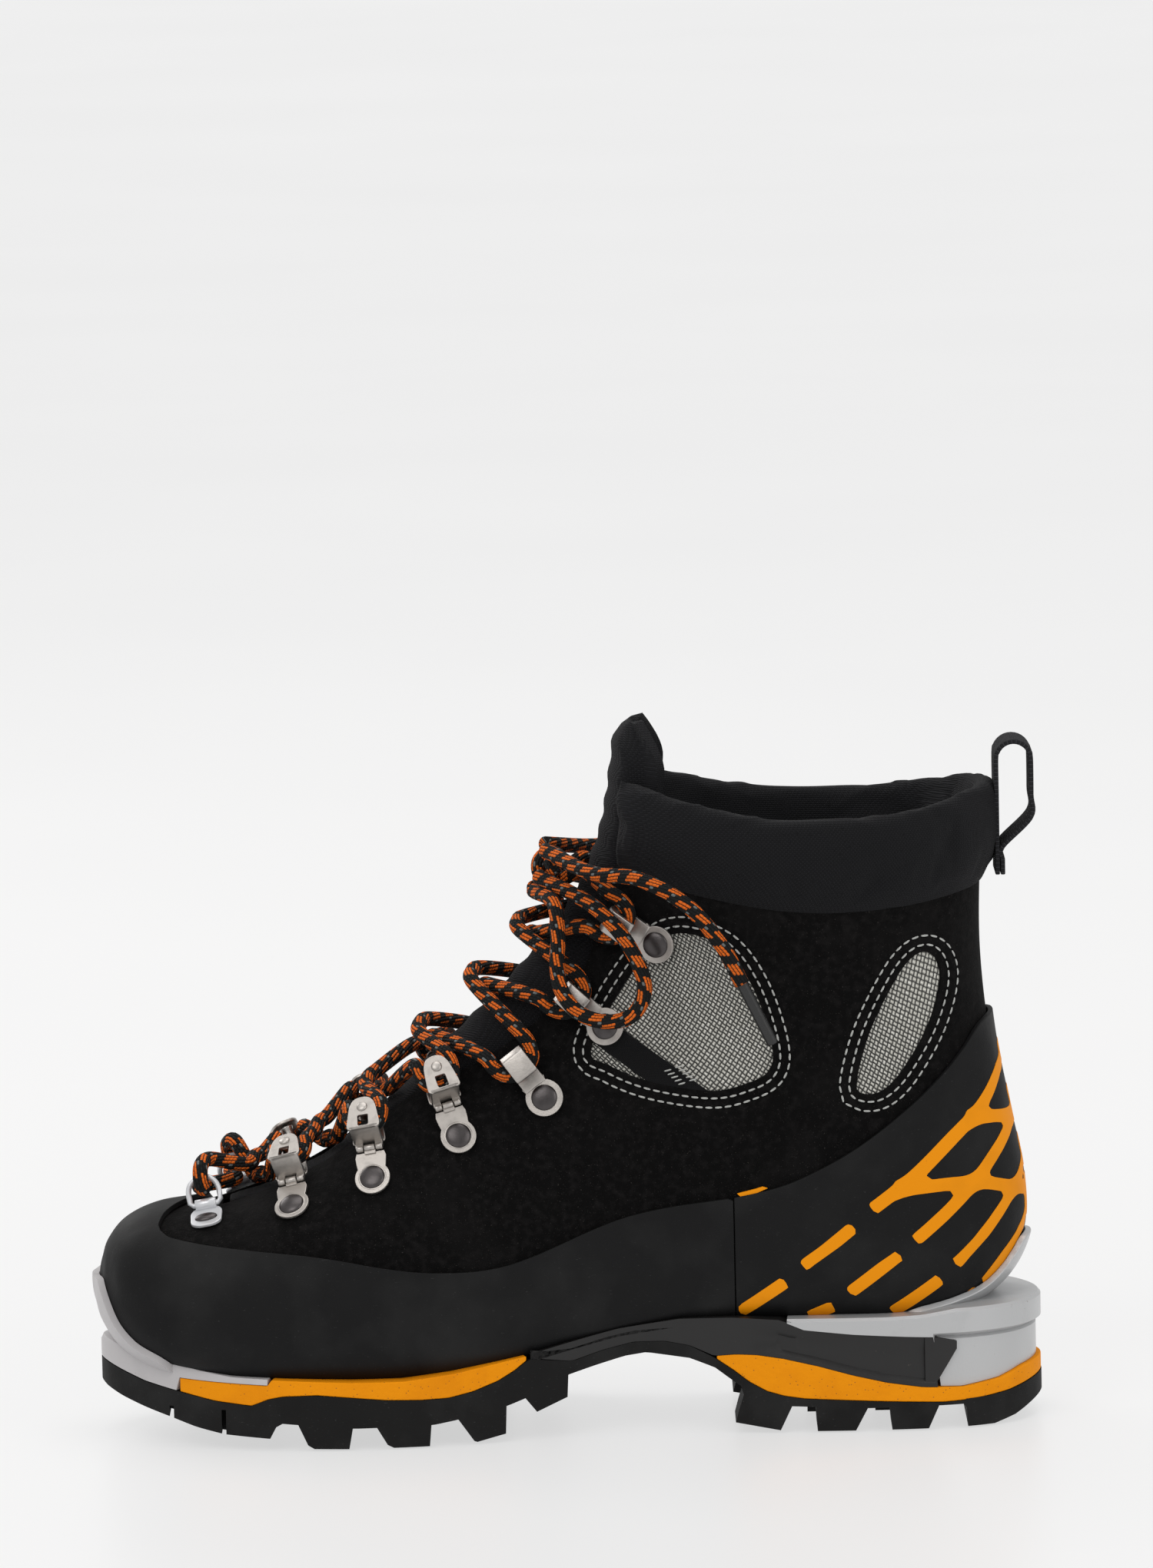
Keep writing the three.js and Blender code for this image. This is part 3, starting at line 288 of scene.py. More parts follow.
def braid():
    """Round woven lace: orange yarns run in staggered blocks between the black ones."""
    m = Nodes("lace", (0.0075, 0.0085, 0.0085), 0.8, Specular_IOR_Level=0.2)
    along, around = m.uv()
    yarns = 14.0  # round the lace
    group_yarns = 3.5  # one black yarn in each group
    block = 7.5  # length of an orange block and the black after it
    bead = 1.25  # length of one stitch of the braid
    turned = m.plus(m.times(around, yarns), m.times(along, 0.16))
    yarn = m.math("FLOOR", turned)
    across = m.humps(turned)
    lag = m.times(m.math("FLOORED_MODULO", yarn, 2.0), 0.5)
    beads = m.plus(m.times(along, 1 / bead), lag)
    hump = m.humps(beads)
    group = m.math("FLOOR", m.times(yarn, 1 / group_yarns))
    shifted = m.plus(m.times(along, 1 / block), m.times(group, 0.5))
    in_group = m.math("FLOORED_MODULO", yarn, group_yarns)
    late = m.times(in_group, 0.07)
    colored = m.math("LESS_THAN", m.math("FRACT", m.plus(shifted, late)), 0.56)
    black_yarn = m.math("LESS_THAN", in_group, 0.9)
    orange = m.times(colored, m.math("SUBTRACT", 1.0, black_yarn))
    fleck = m.math("LESS_THAN", m.math("FLOORED_MODULO", m.math("FLOOR", beads), 6.0), 0.5)
    m.blend(orange, (0.78, 0.15, 0.012))
    m.blend(m.times(m.times(fleck, black_yarn), 0.5), (0.30, 0.33, 0.33))
    # painted shade: darker in the grooves between the yarns and between the stitches
    m.blend(m.ramp(m.times(across, m.plus(hump, 0.35)), 0.5, 0.15), (0.004, 0.004, 0.004))
    relief = m.times(across, m.plus(hump, 0.6))
    return m.bump(relief, 0.45).bump(m.noise(2500, 2), 0.08).material


MATERIALS = {
    "suede": suede(),
    "rubber": rubber("rand_rubber"),
    "outsole": rubber("outsole_rubber", (0.0075, 0.0073, 0.0073), 0.64, 0.045),
    "orange": foam(),
    "print": moulded("orange_print", ORANGE, 0.55, 0.03, dirt=(0.45, 0.15, 0.005), gloss=0.12),
    "grey": moulded("grey_welt", (0.47, 0.455, 0.46), 0.46, 0.05),
    "silver": moulded("silver_welt", (0.47, 0.475, 0.48), 0.36, 0.05, 0.35, coat=0.15),
    "nylon": moulded("black_frame", (0.011, 0.0105, 0.0105), 0.36, 0.04, dirt=(0.05, 0.042, 0.038)),
    "edge": cloth("binding", (0.006, 0.006, 0.0065), 0.9),
    "collar": cloth("collar_cloth", (0.0075, 0.0075, 0.0085), 1.3, solid=True),
    "lining": cloth("lining_cloth", (0.045, 0.046, 0.05), 1.6, 1.4),
    "mesh": coarse_mesh(),
    "webbing": cloth("webbing", (0.018, 0.018, 0.02), 1.4, 2.2, 0.4),
    "thread": cloth("white_thread", (0.72, 0.73, 0.70), 0.5, 1.15),
    "pewter": metal("pewter_steel", (0.47, 0.44, 0.41), 0.36),
    "gunmetal": metal("gunmetal", (0.085, 0.078, 0.078), 0.3),
    "white": moulded("white_metal", (0.66, 0.67, 0.69), 0.3, 0.02, 0.4),
    "roller": metal("roller_steel", (0.5, 0.48, 0.45), 0.3),
    "lace": braid(),
    "aglet": moulded("aglet", (0.02, 0.02, 0.02), 0.25),
}


# ---------------------------------------------------------------- meshes
def make(name, vertices, faces, material, body="boot", nodes=(), slot=None, uv=None, smooth=True):
    mesh = bpy.data.meshes.new(name)
    mesh.from_pydata([tuple(v) for v in np.asarray(vertices, float) * MM], [], [tuple(f) for f in faces])
    mesh.validate()
    if uv is not None:
        layer = mesh.uv_layers.new(name="UVMap")
        index = np.empty(len(mesh.loops), int)
        mesh.loops.foreach_get("vertex_index", index)
        layer.data.foreach_set("uv", np.asarray(uv, float)[index].astype(np.float32).ravel())
    mesh.polygons.foreach_set("use_smooth", [smooth] * len(mesh.polygons))
    piece = bpy.data.objects.new(name, mesh)
    bpy.context.scene.collection.objects.link(piece)
    mesh.materials.append(MATERIALS[material])
    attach(piece, body)
    if nodes:
        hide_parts(*nodes)
    return piece


def outward(piece):
    """Turns all faces to look out of their solid."""
    edit = bmesh.new()
    edit.from_mesh(piece.data)
    bmesh.ops.recalc_face_normals(edit, faces=edit.faces)
    edit.to_mesh(piece.data)
    edit.free()
    return piece


def bevel(piece, width, segments=2, angle=35):
    made = piece.modifiers.new("bevel", "BEVEL")
    made.width = width * MM
    made.segments = segments
    made.limit_method = "ANGLE"
    made.angle_limit = math.radians(angle)
    made.harden_normals = True
    return piece


def shell(piece, thickness, offset=-1):
    made = piece.modifiers.new("thickness", "SOLIDIFY")
    made.thickness = thickness * MM
    made.offset = offset
    return piece


def applied(piece, modifier):
    with bpy.context.temp_override(object=piece, active_object=piece, selected_objects=[piece]):
        bpy.ops.object.modifier_apply(modifier=modifier.name)


# ---------------------------------------------------------------- the last
# Rings from the toe, at station 0, to the top of the shaft. Each row: top x, top z, bottom x, bottom z,
# medial and lateral half-width, centre y, belly (height of the widest place), roundness above and below it.
STATIONS = np.array(
    [
        [-149.2, 56, -149.2, 44, 6, 6, -9, 0, 2, 2],
        [-147.3, 61.5, -147.3, 38, 13.5, 13.5, -9, -0.1, 2.1, 2.2],
        [-142, 67.5, -142, 31, 23.5, 21.5, -8.5, -0.2, 2.3, 2.5],
        [-132, 71.5, -132, 25.5, 33, 30.5, -7, -0.3, 2.4, 3],
        [-116, 73.3, -116, 22.3, 41, 39, -4.5, -0.35, 2.5, 4],
        [-97, 79, -97, 21, 46, 45, -2, -0.4, 2.6, 5],
        [-76, 89.5, -76, 20.4, 48.3, 49, 0, -0.45, 2.5, 5.5],
        [-60, 103, -50, 20.2, 46, 50, 0, -0.5, 2.3, 5.5],
        [-48, 115.5, -22, 23, 41, 47, 0, -0.5, 2.2, 5.5],
        [-38, 125, 8, 30.3, 36, 42, 0, -0.5, 2.1, 5.5],
        [-29, 133.5, 44, 35.2, 33.5, 37.5, 0, -0.45, 2.1, 5.5],
        [-20.5, 142, 82, 35, 33.5, 35.5, 0, -0.4, 2.1, 5],
        [-13, 150, 114, 35.8, 34, 35, 0, -0.35, 2.1, 4.5],
        [-6, 158, 135, 43.5, 34, 34.5, 0, -0.25, 2.1, 2.8],
        [0, 166, 145, 58, 34, 34.5, 0, -0.15, 2.2, 2.3],
        [5, 174.5, 145.6, 77, 34.5, 35, 0, -0.05, 2.2, 2.2],
        [9, 183.5, 141.5, 99, 36, 36.5, 0, 0, 2.2, 2.2],
        [12, 192.5, 137, 124, 38, 38, 0, 0, 2.2, 2.2],
        [14, 202, 134.5, 152, 39.5, 39.5, 0, 0, 2.2, 2.2],
        [15.5, 212, 135, 180, 41, 41, 0, 0, 2.2, 2.2],
        [17, 224, 137, 203, 42, 42, 0, 0, 2.2, 2.2],
        [18.5, 238, 140, 226, 43, 43, 0, 0, 2.2, 2.2],
    ]
)
LAST = len(STATIONS) - 1
THROAT_FRONT = 4.2


def ring_at(s):
    """Top point, bottom point and shape of the ring at station s."""
    padded = np.vstack([2 * STATIONS[0] - STATIONS[1], STATIONS, 2 * STATIONS[-1] - STATIONS[-2]])
    i = int(np.clip(math.floor(s), 0, LAST - 1))
    tx, tz, bx, bz, inner, outer, centre, *shape = spline(*padded[i : i + 4], s - i)
    y = centre - CENTRE_Y
    return np.array([tx, y, tz]), np.array([bx, y, bz]), {MEDIAL: inner, LATERAL: outer}, shape


ANGLES = np.linspace(0, math.pi, 161)


def half_ring(s, side, shares):
    """Points on one side of a ring, at shares (0 to 1) of the way from its bottom to its top."""
    top, bottom, half, (belly, above, below) = ring_at(s)
    upper = ANGLES > math.pi / 2
    power = np.where(upper, 2 / above, 2 / below)
    rise = np.abs(np.cos(ANGLES)) ** power
    height = np.where(upper, belly + (1 - belly) * rise, belly - (1 + belly) * rise)
    out = half[side] * np.maximum(np.sin(ANGLES), 0) ** power
    points = (top + bottom) / 2 + height[:, None] * (top - bottom) / 2
    points[:, 1] += side * out
    run = run_along(points)
    return np.stack([np.interp(np.asarray(shares) * run[-1], run, points[:, k]) for k in range(3)], axis=1)


PER_SIDE = 130
AROUND = 2 * PER_SIDE
ROWS = np.concatenate([np.linspace(0, 3, 31)[:-1], np.linspace(3, LAST, 400)])
NOSE_SHARES = (0.01, 0.15, 0.3, 0.45, 0.6, 0.75, 0.88)  # rings that close the toe's tip
NOSE_BULGE = 0.9


class Skin:
    """The whole last as a fine grid: rows along it, columns round it from the medial top edge."""

    def __init__(self):
        shares = np.linspace(0, 1, PER_SIDE + 1)
        rows = []
        for s in ROWS:
            medial = half_ring(s, MEDIAL, shares)
            lateral = half_ring(s, LATERAL, shares)
            rows.append(np.vstack([medial[:0:-1], lateral[:-1]]))
        nose = rows[0].mean(axis=0)
        tip = [nose + (rows[0] - nose) * f - [NOSE_BULGE * (1 - f * f), 0, 0] for f in NOSE_SHARES]
        self.point = np.array(tip + rows)
        stations = np.concatenate([np.full(len(tip), ROWS[0]), ROWS])
        along = np.gradient(self.point, axis=0)
        round_ = (np.roll(self.point, -1, axis=1) - np.roll(self.point, 1, axis=1)) / 2
        normal = np.cross(round_, along)
        normal /= np.maximum(np.linalg.norm(normal, axis=2, keepdims=True), 1e-9)
        middle = self.point.mean(axis=1, keepdims=True)
        if np.mean(np.sum(normal * (self.point - middle), axis=2)) < 0:
            normal = -normal
        self.normal = normal
        steps = np.linalg.norm(np.diff(self.point, axis=0, prepend=self.point[:1]), axis=2)
        steps_round = np.linalg.norm(np.diff(self.point, axis=1, prepend=self.point[:, :1]), axis=2)
        down = np.cumsum(steps.mean(axis=1))[:, None] + 0 * steps
        self.uv = np.stack([down, np.cumsum(steps_round, axis=1)], axis=2)
        self.x, self.y, self.z = np.moveaxis(self.point, 2, 0)
        self.station = np.repeat(stations[:, None], AROUND, axis=1)
        column = np.arange(AROUND)
        share = np.abs(1 - np.abs(column - PER_SIDE) / PER_SIDE)
        self.up = np.repeat((1 - share)[None, :], len(stations), axis=0)  # 0 under the foot, 1 on the ridge


skin = Skin()


SNAP = 0.34  # a grid point this share of a step from the edge moves onto it


def patch(name, field, height, material, rim=1.0, edge=0.35, **options):
    """A sheet over the last where field (signed mm) is positive, height mm above it."""
    field = np.array(field, float)
    height = np.broadcast_to(np.asarray(height, float), field.shape)
    data = np.concatenate([skin.point + skin.normal * height[..., None], skin.uv], axis=2)
    moved = data.copy()
    best = np.full(field.shape, SNAP)
    snapped = np.zeros(field.shape, bool)
    for axis, step in ((0, 1), (0, -1), (1, 1), (1, -1)):
        other = np.roll(field, -step, axis=axis)
        if axis == 0:
            other[-1 if step == 1 else 0] = field[-1 if step == 1 else 0]
        crossing = field * other < 0
        t = np.where(crossing, field / np.where(crossing, field - other, 1), 1)
        use = crossing & (t < best)
        target = np.roll(data, -step, axis=axis)
        moved[use] = (data + (target - data) * t[..., None])[use]
        best[use] = t[use]
        snapped |= use
    field[snapped] = 0
    vertices, uvs, faces, known = [], [], [], {}

    def corner(i, j):
        if (i, j) not in known:
            known[i, j] = len(vertices)
            vertices.append(moved[i, j, :3])
            uvs.append(moved[i, j, 3:])
        return known[i, j]

    def cut(a, b):
        key = (a, b) if a < b else (b, a)
        if key not in known:
            first, second = key
            t = field[first] / (field[first] - field[second])
            row = moved[first] + (moved[second] - moved[first]) * t
            known[key] = len(vertices)
            vertices.append(row[:3])
            uvs.append(row[3:])
        return known[key]

    inside = field > 0
    near = inside[:-1] | inside[1:]
    near = near | np.roll(near, -1, axis=1)
    for i, j in zip(*np.nonzero(near)):
        k = (j + 1) % AROUND
        quad = [(i, j), (i + 1, j), (i + 1, k), (i, k)]
        if not any(field[q] > 0 for q in quad):
            continue
        face = []
        for a, b in zip(quad, quad[1:] + quad[:1]):
            if field[a] >= 0:
                face.append(corner(*a))
            if field[a] * field[b] < 0:
                face.append(cut(a, b))
        if len(face) > 2:
            faces.append(face)
    if (field[0] > 0).all():
        faces.append([corner(0, j) for j in range(AROUND)])
    piece = make(name, vertices, faces, material, uv=uvs, **options)
    turn_out(piece)
    if rim:
        shell(piece, rim)
        bevel(piece, edge, 2, 50)
    return piece


def turn_out(piece):
    """Makes a sheet's faces look away from the middle of the last."""
    mesh = piece.data
    score = 0
    for face in list(mesh.polygons)[:: max(1, len(mesh.polygons) // 400)]:
        away = face.center - Vector((face.center.x, -CENTRE_Y * MM, face.center.z))
        score += face.normal.dot(away)
    if score < 0:
        mesh.flip_normals()


# ---------------------------------------------------------------- fields: signed distances in the side view
def polyline_distance(x, z, points):
    best = np.full(np.shape(x), 1e9)
    for (ax, az), (bx, bz) in zip(points[:-1], points[1:]):
        dx, dz = bx - ax, bz - az
        t = np.clip(((x - ax) * dx + (z - az) * dz) / max(dx * dx + dz * dz, 1e-9), 0, 1)
        best = np.minimum(best, np.hypot(x - ax - t * dx, z - az - t * dz))
    return best


def polygon_field(x, z, points):
    """Distance to a closed outline, positive inside."""
    closed = [*points, points[0]]
    inside = np.zeros(np.shape(x), bool)
    for (ax, az), (bx, bz) in zip(closed[:-1], closed[1:]):
        if az == bz:
            continue
        crosses = ((az > z) != (bz > z)) & (x < (bx - ax) * (z - az) / (bz - az) + ax)
        inside ^= crosses
    distance = polyline_distance(x, z, closed)
    return np.where(inside, distance, -distance)


def smooth_line(points, step=2.0, closed=False):
    """The same line through the points, rounded between them."""
    points = [np.array(p, float) for p in points]
    count = len(points)
    out = []
    for i in range(count if closed else count - 1):
        near = [(i + k) % count if closed else min(max(i + k, 0), count - 1) for k in (-1, 0, 1, 2)]
        p0, p1, p2, p3 = (points[k] for k in near)
        steps = max(1, int(np.linalg.norm(p2 - p1) / step))
        out += [spline(p0, p1, p2, p3, u) for u in np.arange(steps) / steps]
    if not closed:
        out.append(points[-1])
    return out


SKEWED_X = skin.x - 0.42 * np.clip((-20 - skin.x) / 90, 0, 1) * np.clip(skin.y + CENTRE_Y + 20, -12, 34)

RAND_LINE = [
    (-130.4, 70.6), (-129.2, 68), (-124, 65.4), (-113, 63.6), (-97.5, 62.5), (-82, 61.5), (-70.8, 60),
    (-59.5, 57.7), (-48.5, 55.8), (-39.5, 55), (-29.5, 55), (-20.5, 56.3), (-11.5, 59), (-3.8, 62),
    (5.2, 65.8), (15, 69.5), (23.5, 71.8), (34.7, 73.9), (52.5, 76.2), (68, 79.6), (79.2, 84.2),
    (90.5, 90.2), (101.5, 97.8), (112.7, 107), (121.7, 115.8), (127, 122), (134, 130), (150, 134),
]
RAND_REGION = [(-165, 95), (-130.2, 95), *smooth_line(RAND_LINE), (165, 134), (165, 5), (-165, 5)]
rand_field = polygon_field(SKEWED_X, skin.z, RAND_REGION)

WINDOWS = {
    "front": [(8, 124), (13.5, 119), (27, 113.6), (46, 110.6), (57, 112.6), (65, 117), (66, 126),
              (60, 145), (50, 158), (34, 161), (20, 146)],
    "rear": [(93, 112), (95, 109), (101, 109.5), (108, 116), (117, 131), (121, 146), (117, 154),
             (109, 150), (98, 130)],
}
WINDOWS = {name: smooth_line(points, 1.5, True) for name, points in WINDOWS.items()}
window_fields = {name: polygon_field(skin.x, skin.z, points) for name, points in WINDOWS.items()}



def throat_half(s):
    """Half width of the lacing opening at station s."""
    return np.clip(9 + 1.9 * (s - THROAT_FRONT), 9, 18)


from_middle = np.abs(skin.y - skin.y[:, :1])
throat_inside = np.minimum(throat_half(skin.station) - from_middle, (skin.station - THROAT_FRONT) * 19)
throat_field = np.where(skin.up > 0.62, throat_inside, -50.0)

CUFF_SEAM = [(-60, 188), (-30, 186), (8, 184), (40, 176), (75, 170), (110, 171), (150, 178), (180, 184)]
COLLAR_TOP = [(-60, 216), (-30, 214), (10, 211), (40, 203), (75, 197), (110, 198), (150, 206), (180, 212)]


def line_height(line, x):
    points = np.array(smooth_line(line))
    return np.interp(x, points[:, 0], points[:, 1])


below_cuff = line_height(CUFF_SEAM, skin.x) - skin.z


# ---------------------------------------------------------------- upper
STRAP_LINE = [(47, 104), (4, 135)]
STRAP_HALF = 4.4
SEAM_ROWS = (2.4, 5.4)  # how far the two rows of stitches lie outside each window
RAND_SEAM = 53  # x of the gap between the front and the rear rand
RAND_GAP = 0.15


def build_upper():
    windows = np.maximum(window_fields["front"], window_fields["rear"])
    field = np.minimum.reduce([-throat_field, below_cuff, -windows, 6 - rand_field])
    field = np.where(skin.z < 30, -1, field)
    raised = 0.25 * np.exp(-((windows + 4.2) / 1.6) ** 2)
    seams = [-0.35 * np.exp(-((windows + out) / 0.5) ** 2) for out in SEAM_ROWS]
    height = raised + (seams[0] + seams[1])
    patch("suede_shell", field, height, "suede", 1.9, 0.5, nodes=["suede_upper"], slot="suede")

    toe = np.minimum(rand_field, RAND_SEAM - RAND_GAP - skin.x)
    heel = np.minimum(rand_field, skin.x - RAND_SEAM - RAND_GAP)
    patch("toe_rand_skin", toe, RAND_OUT, "rubber", 1.7, 0.5, nodes=["toe_rand"], slot="black_rubber")
    patch("heel_rand_skin", heel, RAND_OUT, "rubber", 1.7, 0.5, nodes=["heel_rand"], slot="black_rubber")

    for where, window in window_fields.items():
        for side_name, side in SIDES.items():
            half = np.where(np.sign(skin.y + CENTRE_Y) == side, window + 2, -5)
            node = f"ankle_mesh_{where}_{side_name}"
            patch(f"{node}_cloth", half, -0.9, "mesh", 0.6, 0.1, nodes=[node], slot="ankle_mesh")
            if where == "front":
                strap = STRAP_HALF - polyline_distance(skin.x, skin.z, STRAP_LINE)
                strap = np.minimum(half - 1, np.where(half > 0, strap, -5))
                patch(f"ankle_strap_{side_name}", strap, -0.1, "edge", 1.0, 0.2, slot="padded_cloth")


def surface_point(x, z, side, lift):
    """The point of the surface under a side-view place, and the normal there."""
    mask = np.where(np.sign(skin.y + CENTRE_Y) == side, 0, 1e6)
    distance = ((skin.x - x) ** 2 + (skin.z - z) ** 2 + mask).ravel()
    flat = np.argpartition(distance, 6)[:6]
    weight = 1 / (distance[flat] + 1e-3)
    weight /= weight.sum()
    point = (skin.point.reshape(-1, 3)[flat] * weight[:, None]).sum(axis=0)
    normal = (skin.normal.reshape(-1, 3)[flat] * weight[:, None]).sum(axis=0)
    normal = unit(normal)
    point[[0, 2]] = x, z
    return point + normal * lift, normal


def capsule(start, end, normal, radius):
    """A short thread: a bead flattened onto the surface."""
    start, end, normal = (np.array(v, float) for v in (start, end, normal))
    along = end - start
    length = np.linalg.norm(along)
    along /= length
    side = np.cross(normal, along)
    rings = ((0, 0.35), (0.12, 0.85), (0.5, 1.05), (0.88, 0.85), (1, 0.35))
    vertices = []
    for share, swell in rings:
        for k in range(6):
            angle = math.pi * k / 3
            lift = 0.45 * radius * math.sin(math.pi * share)
            offset = side * math.cos(angle) + normal * math.sin(angle) * 0.8
            vertices.append(start + along * length * share + offset * radius * swell + normal * lift)
    return vertices, tube_faces(len(rings), 6)


def sewn(name, stitches, side, lift, radius=0.33):
    """Separate stitches, each from one side-view place to another on one side of the boot."""
    vertices, faces, uvs = [], [], []
    for (ax, az), (bx, bz) in stitches:
        start, normal = surface_point(ax, az, side, lift)
        end, _ = surface_point(bx, bz, side, lift)
        made, sides = capsule(start, end, normal, radius)
        base = len(vertices)
        vertices += made
        uvs += [(v[0], v[2]) for v in made]
        faces += [tuple(base + i for i in f) for f in sides]
    return make(name, vertices, faces, "thread", uv=uvs)


def stitch_row(name, line, side, pitch, lift, share=0.72):
    """Even stitches all along a closed side-view line."""
    line = np.array([*line, line[0]], float)
    run = run_along(line)
    count = int(run[-1] / pitch)

    def at(t):
        return [float(np.interp(t * run[-1], run, line[:, k])) for k in range(2)]

    return sewn(name, [(at(k / count), at((k + share) / count)) for k in range(count)], side, lift)


def grown(points, distance):
    """A closed outline moved outwards."""
    out = []
    count = len(points)
    area = sum(a[0] * b[1] - b[0] * a[1] for a, b in zip(points, [*points[1:], points[0]]))
    turn = 1 if area > 0 else -1
    for i in range(count):
        a, b = np.array(points[i - 1]), np.array(points[(i + 1) % count])
        along = unit(b - a)
        out.append(np.array(points[i]) + turn * distance * np.array([along[1], -along[0]]))
    return out


def build_stitches():
    for side_name, side in SIDES.items():
        for where, window in WINDOWS.items():
            for row, distance in enumerate(SEAM_ROWS):
                line = grown(window, distance)
                stitch_row(f"stitches_{where}_{row + 1}_{side_name}", line, side, 3.1, 0.15)
        tacks = []
        for x, z in ((31.6, 117), (35.2, 118.2)):
            starts = [(x + 1.1 * k, z - 1.05 * k) for k in range(5)]
            tacks += [((a, b), (a + 2.3, b + 0.6)) for a, b in starts]
        sewn(f"bar_tacks_{side_name}", tacks, side, 1.1, 0.26)


# ---------------------------------------------------------------- heel print
PRINT_WIDTH = 4.2
FILLET = 3.0  # how far the net's branches flow into each other
BACK_RADIUS = 34.0
RAND_FACE = skin.point + skin.normal * (RAND_OUT + 0.2)
BACK_HEIGHTS = np.arange(54, 150, 6)
BACK_FLAT = 0.7  # places this near the back line count as on it
BACK_LINE = [float(RAND_FACE[np.abs(RAND_FACE[..., 2] - z) < 3, 0].max()) for z in BACK_HEIGHTS]


def unrolled(x, z):
    """Distance round the heel from its back line, for a place in the side view."""
    depth = np.maximum(np.interp(z, BACK_HEIGHTS, BACK_LINE) - BACK_FLAT - x, 0)
    bent = BACK_RADIUS * np.arccos(np.clip(1 - depth / BACK_RADIUS, -1, 1))
    return np.where(depth < BACK_RADIUS, bent, BACK_RADIUS * math.pi / 2 + depth - BACK_RADIUS)


# Each line as side-view points: first the net's branches, then the separate dashes.
NET = [
    [(97.4, 71.7), (105, 77.2), (113.5, 83.8), (124.2, 93.8), (131.8, 100.8), (136.5, 107), (139.5, 113),
     (142, 119)],
    [(106.6, 77.6), (124.2, 78.6), (136, 77.4), (149, 72.6)],
    [(129.8, 98.9), (137.2, 98.7), (147, 96.6)],
    [(111.2, 60.9), (121.1, 69), (130.3, 77.9), (138.2, 87.6), (143, 95.1), (146, 104)],
    [(124.2, 52), (133.4, 60.9), (141.8, 71.4), (146.6, 79), (149, 88)],
    [(133.7, 43.7), (141, 53), (147.4, 63), (149.5, 75)],
]
DASHES = [
    [(54.2, 38.3), (69.1, 48.5)],
    [(74.8, 53.7), (91.3, 66.1)],
    [(76.7, 36), (84.4, 39.6)],
    [(89.7, 44.4), (106.2, 56.5)],
    [(103.5, 37), (119.2, 47.6)],
    [(124.5, 37), (131.3, 41.4)],
]


def stroke(q, z, points, both_ends):
    """A painted line with square ends, positive inside."""
    flat = [(float(unrolled(np.array(a), np.array(b))), b) for a, b in points]
    field = PRINT_WIDTH / 2 - polyline_distance(q, z, flat)
    for end, inner in ((flat[0], flat[1]), (flat[-1], flat[-2]))[: 1 + both_ends]:
        along = unit(np.array(inner) - np.array(end))
        field = np.minimum(field, (q - end[0]) * along[0] + (z - end[1]) * along[1])
    return field


def build_print():
    x, z = RAND_FACE[..., 0], RAND_FACE[..., 2]
    q = unrolled(x, z)
    lines = np.full(q.shape, -50.0)
    for points in NET:
        branch = stroke(q, z, smooth_line(points, 3), False)
        share = np.clip(0.5 + (lines - branch) / (2 * FILLET), 0, 1)
        lines = branch + (lines - branch) * share + FILLET * share * (1 - share)
    for points in DASHES:
        lines = np.maximum(lines, stroke(q, z, points, True))
    field = np.minimum.reduce([lines, rand_field - 1.2, x - 54])
    field = np.where(((skin.up > 0.04) | (z > 42)) & (x > 50) & (z > 30), field, -5)
    patch("heel_print", field, RAND_OUT + 0.18, "print", 0.5, 0.1, slot="orange_foam")
    sliver = polygon_field(skin.x, skin.z, [(53.4, 77.4), (60, 79), (68.5, 81.6), (61, 77.6), (53.4, 75.6)])
    patch("seam_sliver", np.where(skin.up > 0.2, sliver, -5), 1.6, "print", 1.0, 0.1, slot="orange_foam")


# ---------------------------------------------------------------- collar, tongue, lining
CLOTH_FRAMES = 20


def puffed(piece, voxel, reach, held):
    """Swells a pad as cloth under light pressure. Points where held is true stay, others move up to reach."""
    remesh = piece.modifiers.new("remesh", "REMESH")
    remesh.mode = "VOXEL"
    remesh.voxel_size = voxel * MM
    remesh.use_smooth_shade = True
    applied(piece, remesh)
    mesh = piece.data
    start = np.array([v.co for v in mesh.vertices])
    pins = piece.vertex_groups.new(name="held")
    pins.add([int(i) for i in np.nonzero(held(start / MM))[0]], 1.0, "REPLACE")
    simulation = piece.modifiers.new("cloth", "CLOTH")
    settings = simulation.settings
    settings.vertex_group_mass = pins.name
    settings.use_pressure = True
    settings.uniform_pressure_force = 4
    settings.tension_stiffness = 8
    settings.compression_stiffness = 8
    settings.bending_stiffness = 0.3
    settings.shrink_min = -0.06
    settings.effector_weights.gravity = 0
    scene = bpy.context.scene
    for step in range(1, CLOTH_FRAMES + 1):
        scene.frame_set(step)
    swollen = piece.evaluated_get(bpy.context.evaluated_depsgraph_get()).data
    moved = np.array([v.co for v in swollen.vertices]) - start
    far = np.maximum(np.linalg.norm(moved, axis=1, keepdims=True), 1e-9)
    end = start + moved * (reach * MM * np.tanh(far / (reach * MM)) / far)
    piece.modifiers.remove(simulation)
    piece.vertex_groups.remove(pins)
    mesh.vertices.foreach_set("co", end.ravel())
    mesh.update()
    scene.frame_set(1)
    smooth = piece.modifiers.new("smooth", "SUBSURF")
    smooth.levels = smooth.render_levels = 1
    applied(piece, smooth)


COLLAR_OPENING = 19.5  # half the gap that the collar leaves for the tongue
COLLAR_GRID = 61  # places on each side, from under the foot to the ridge


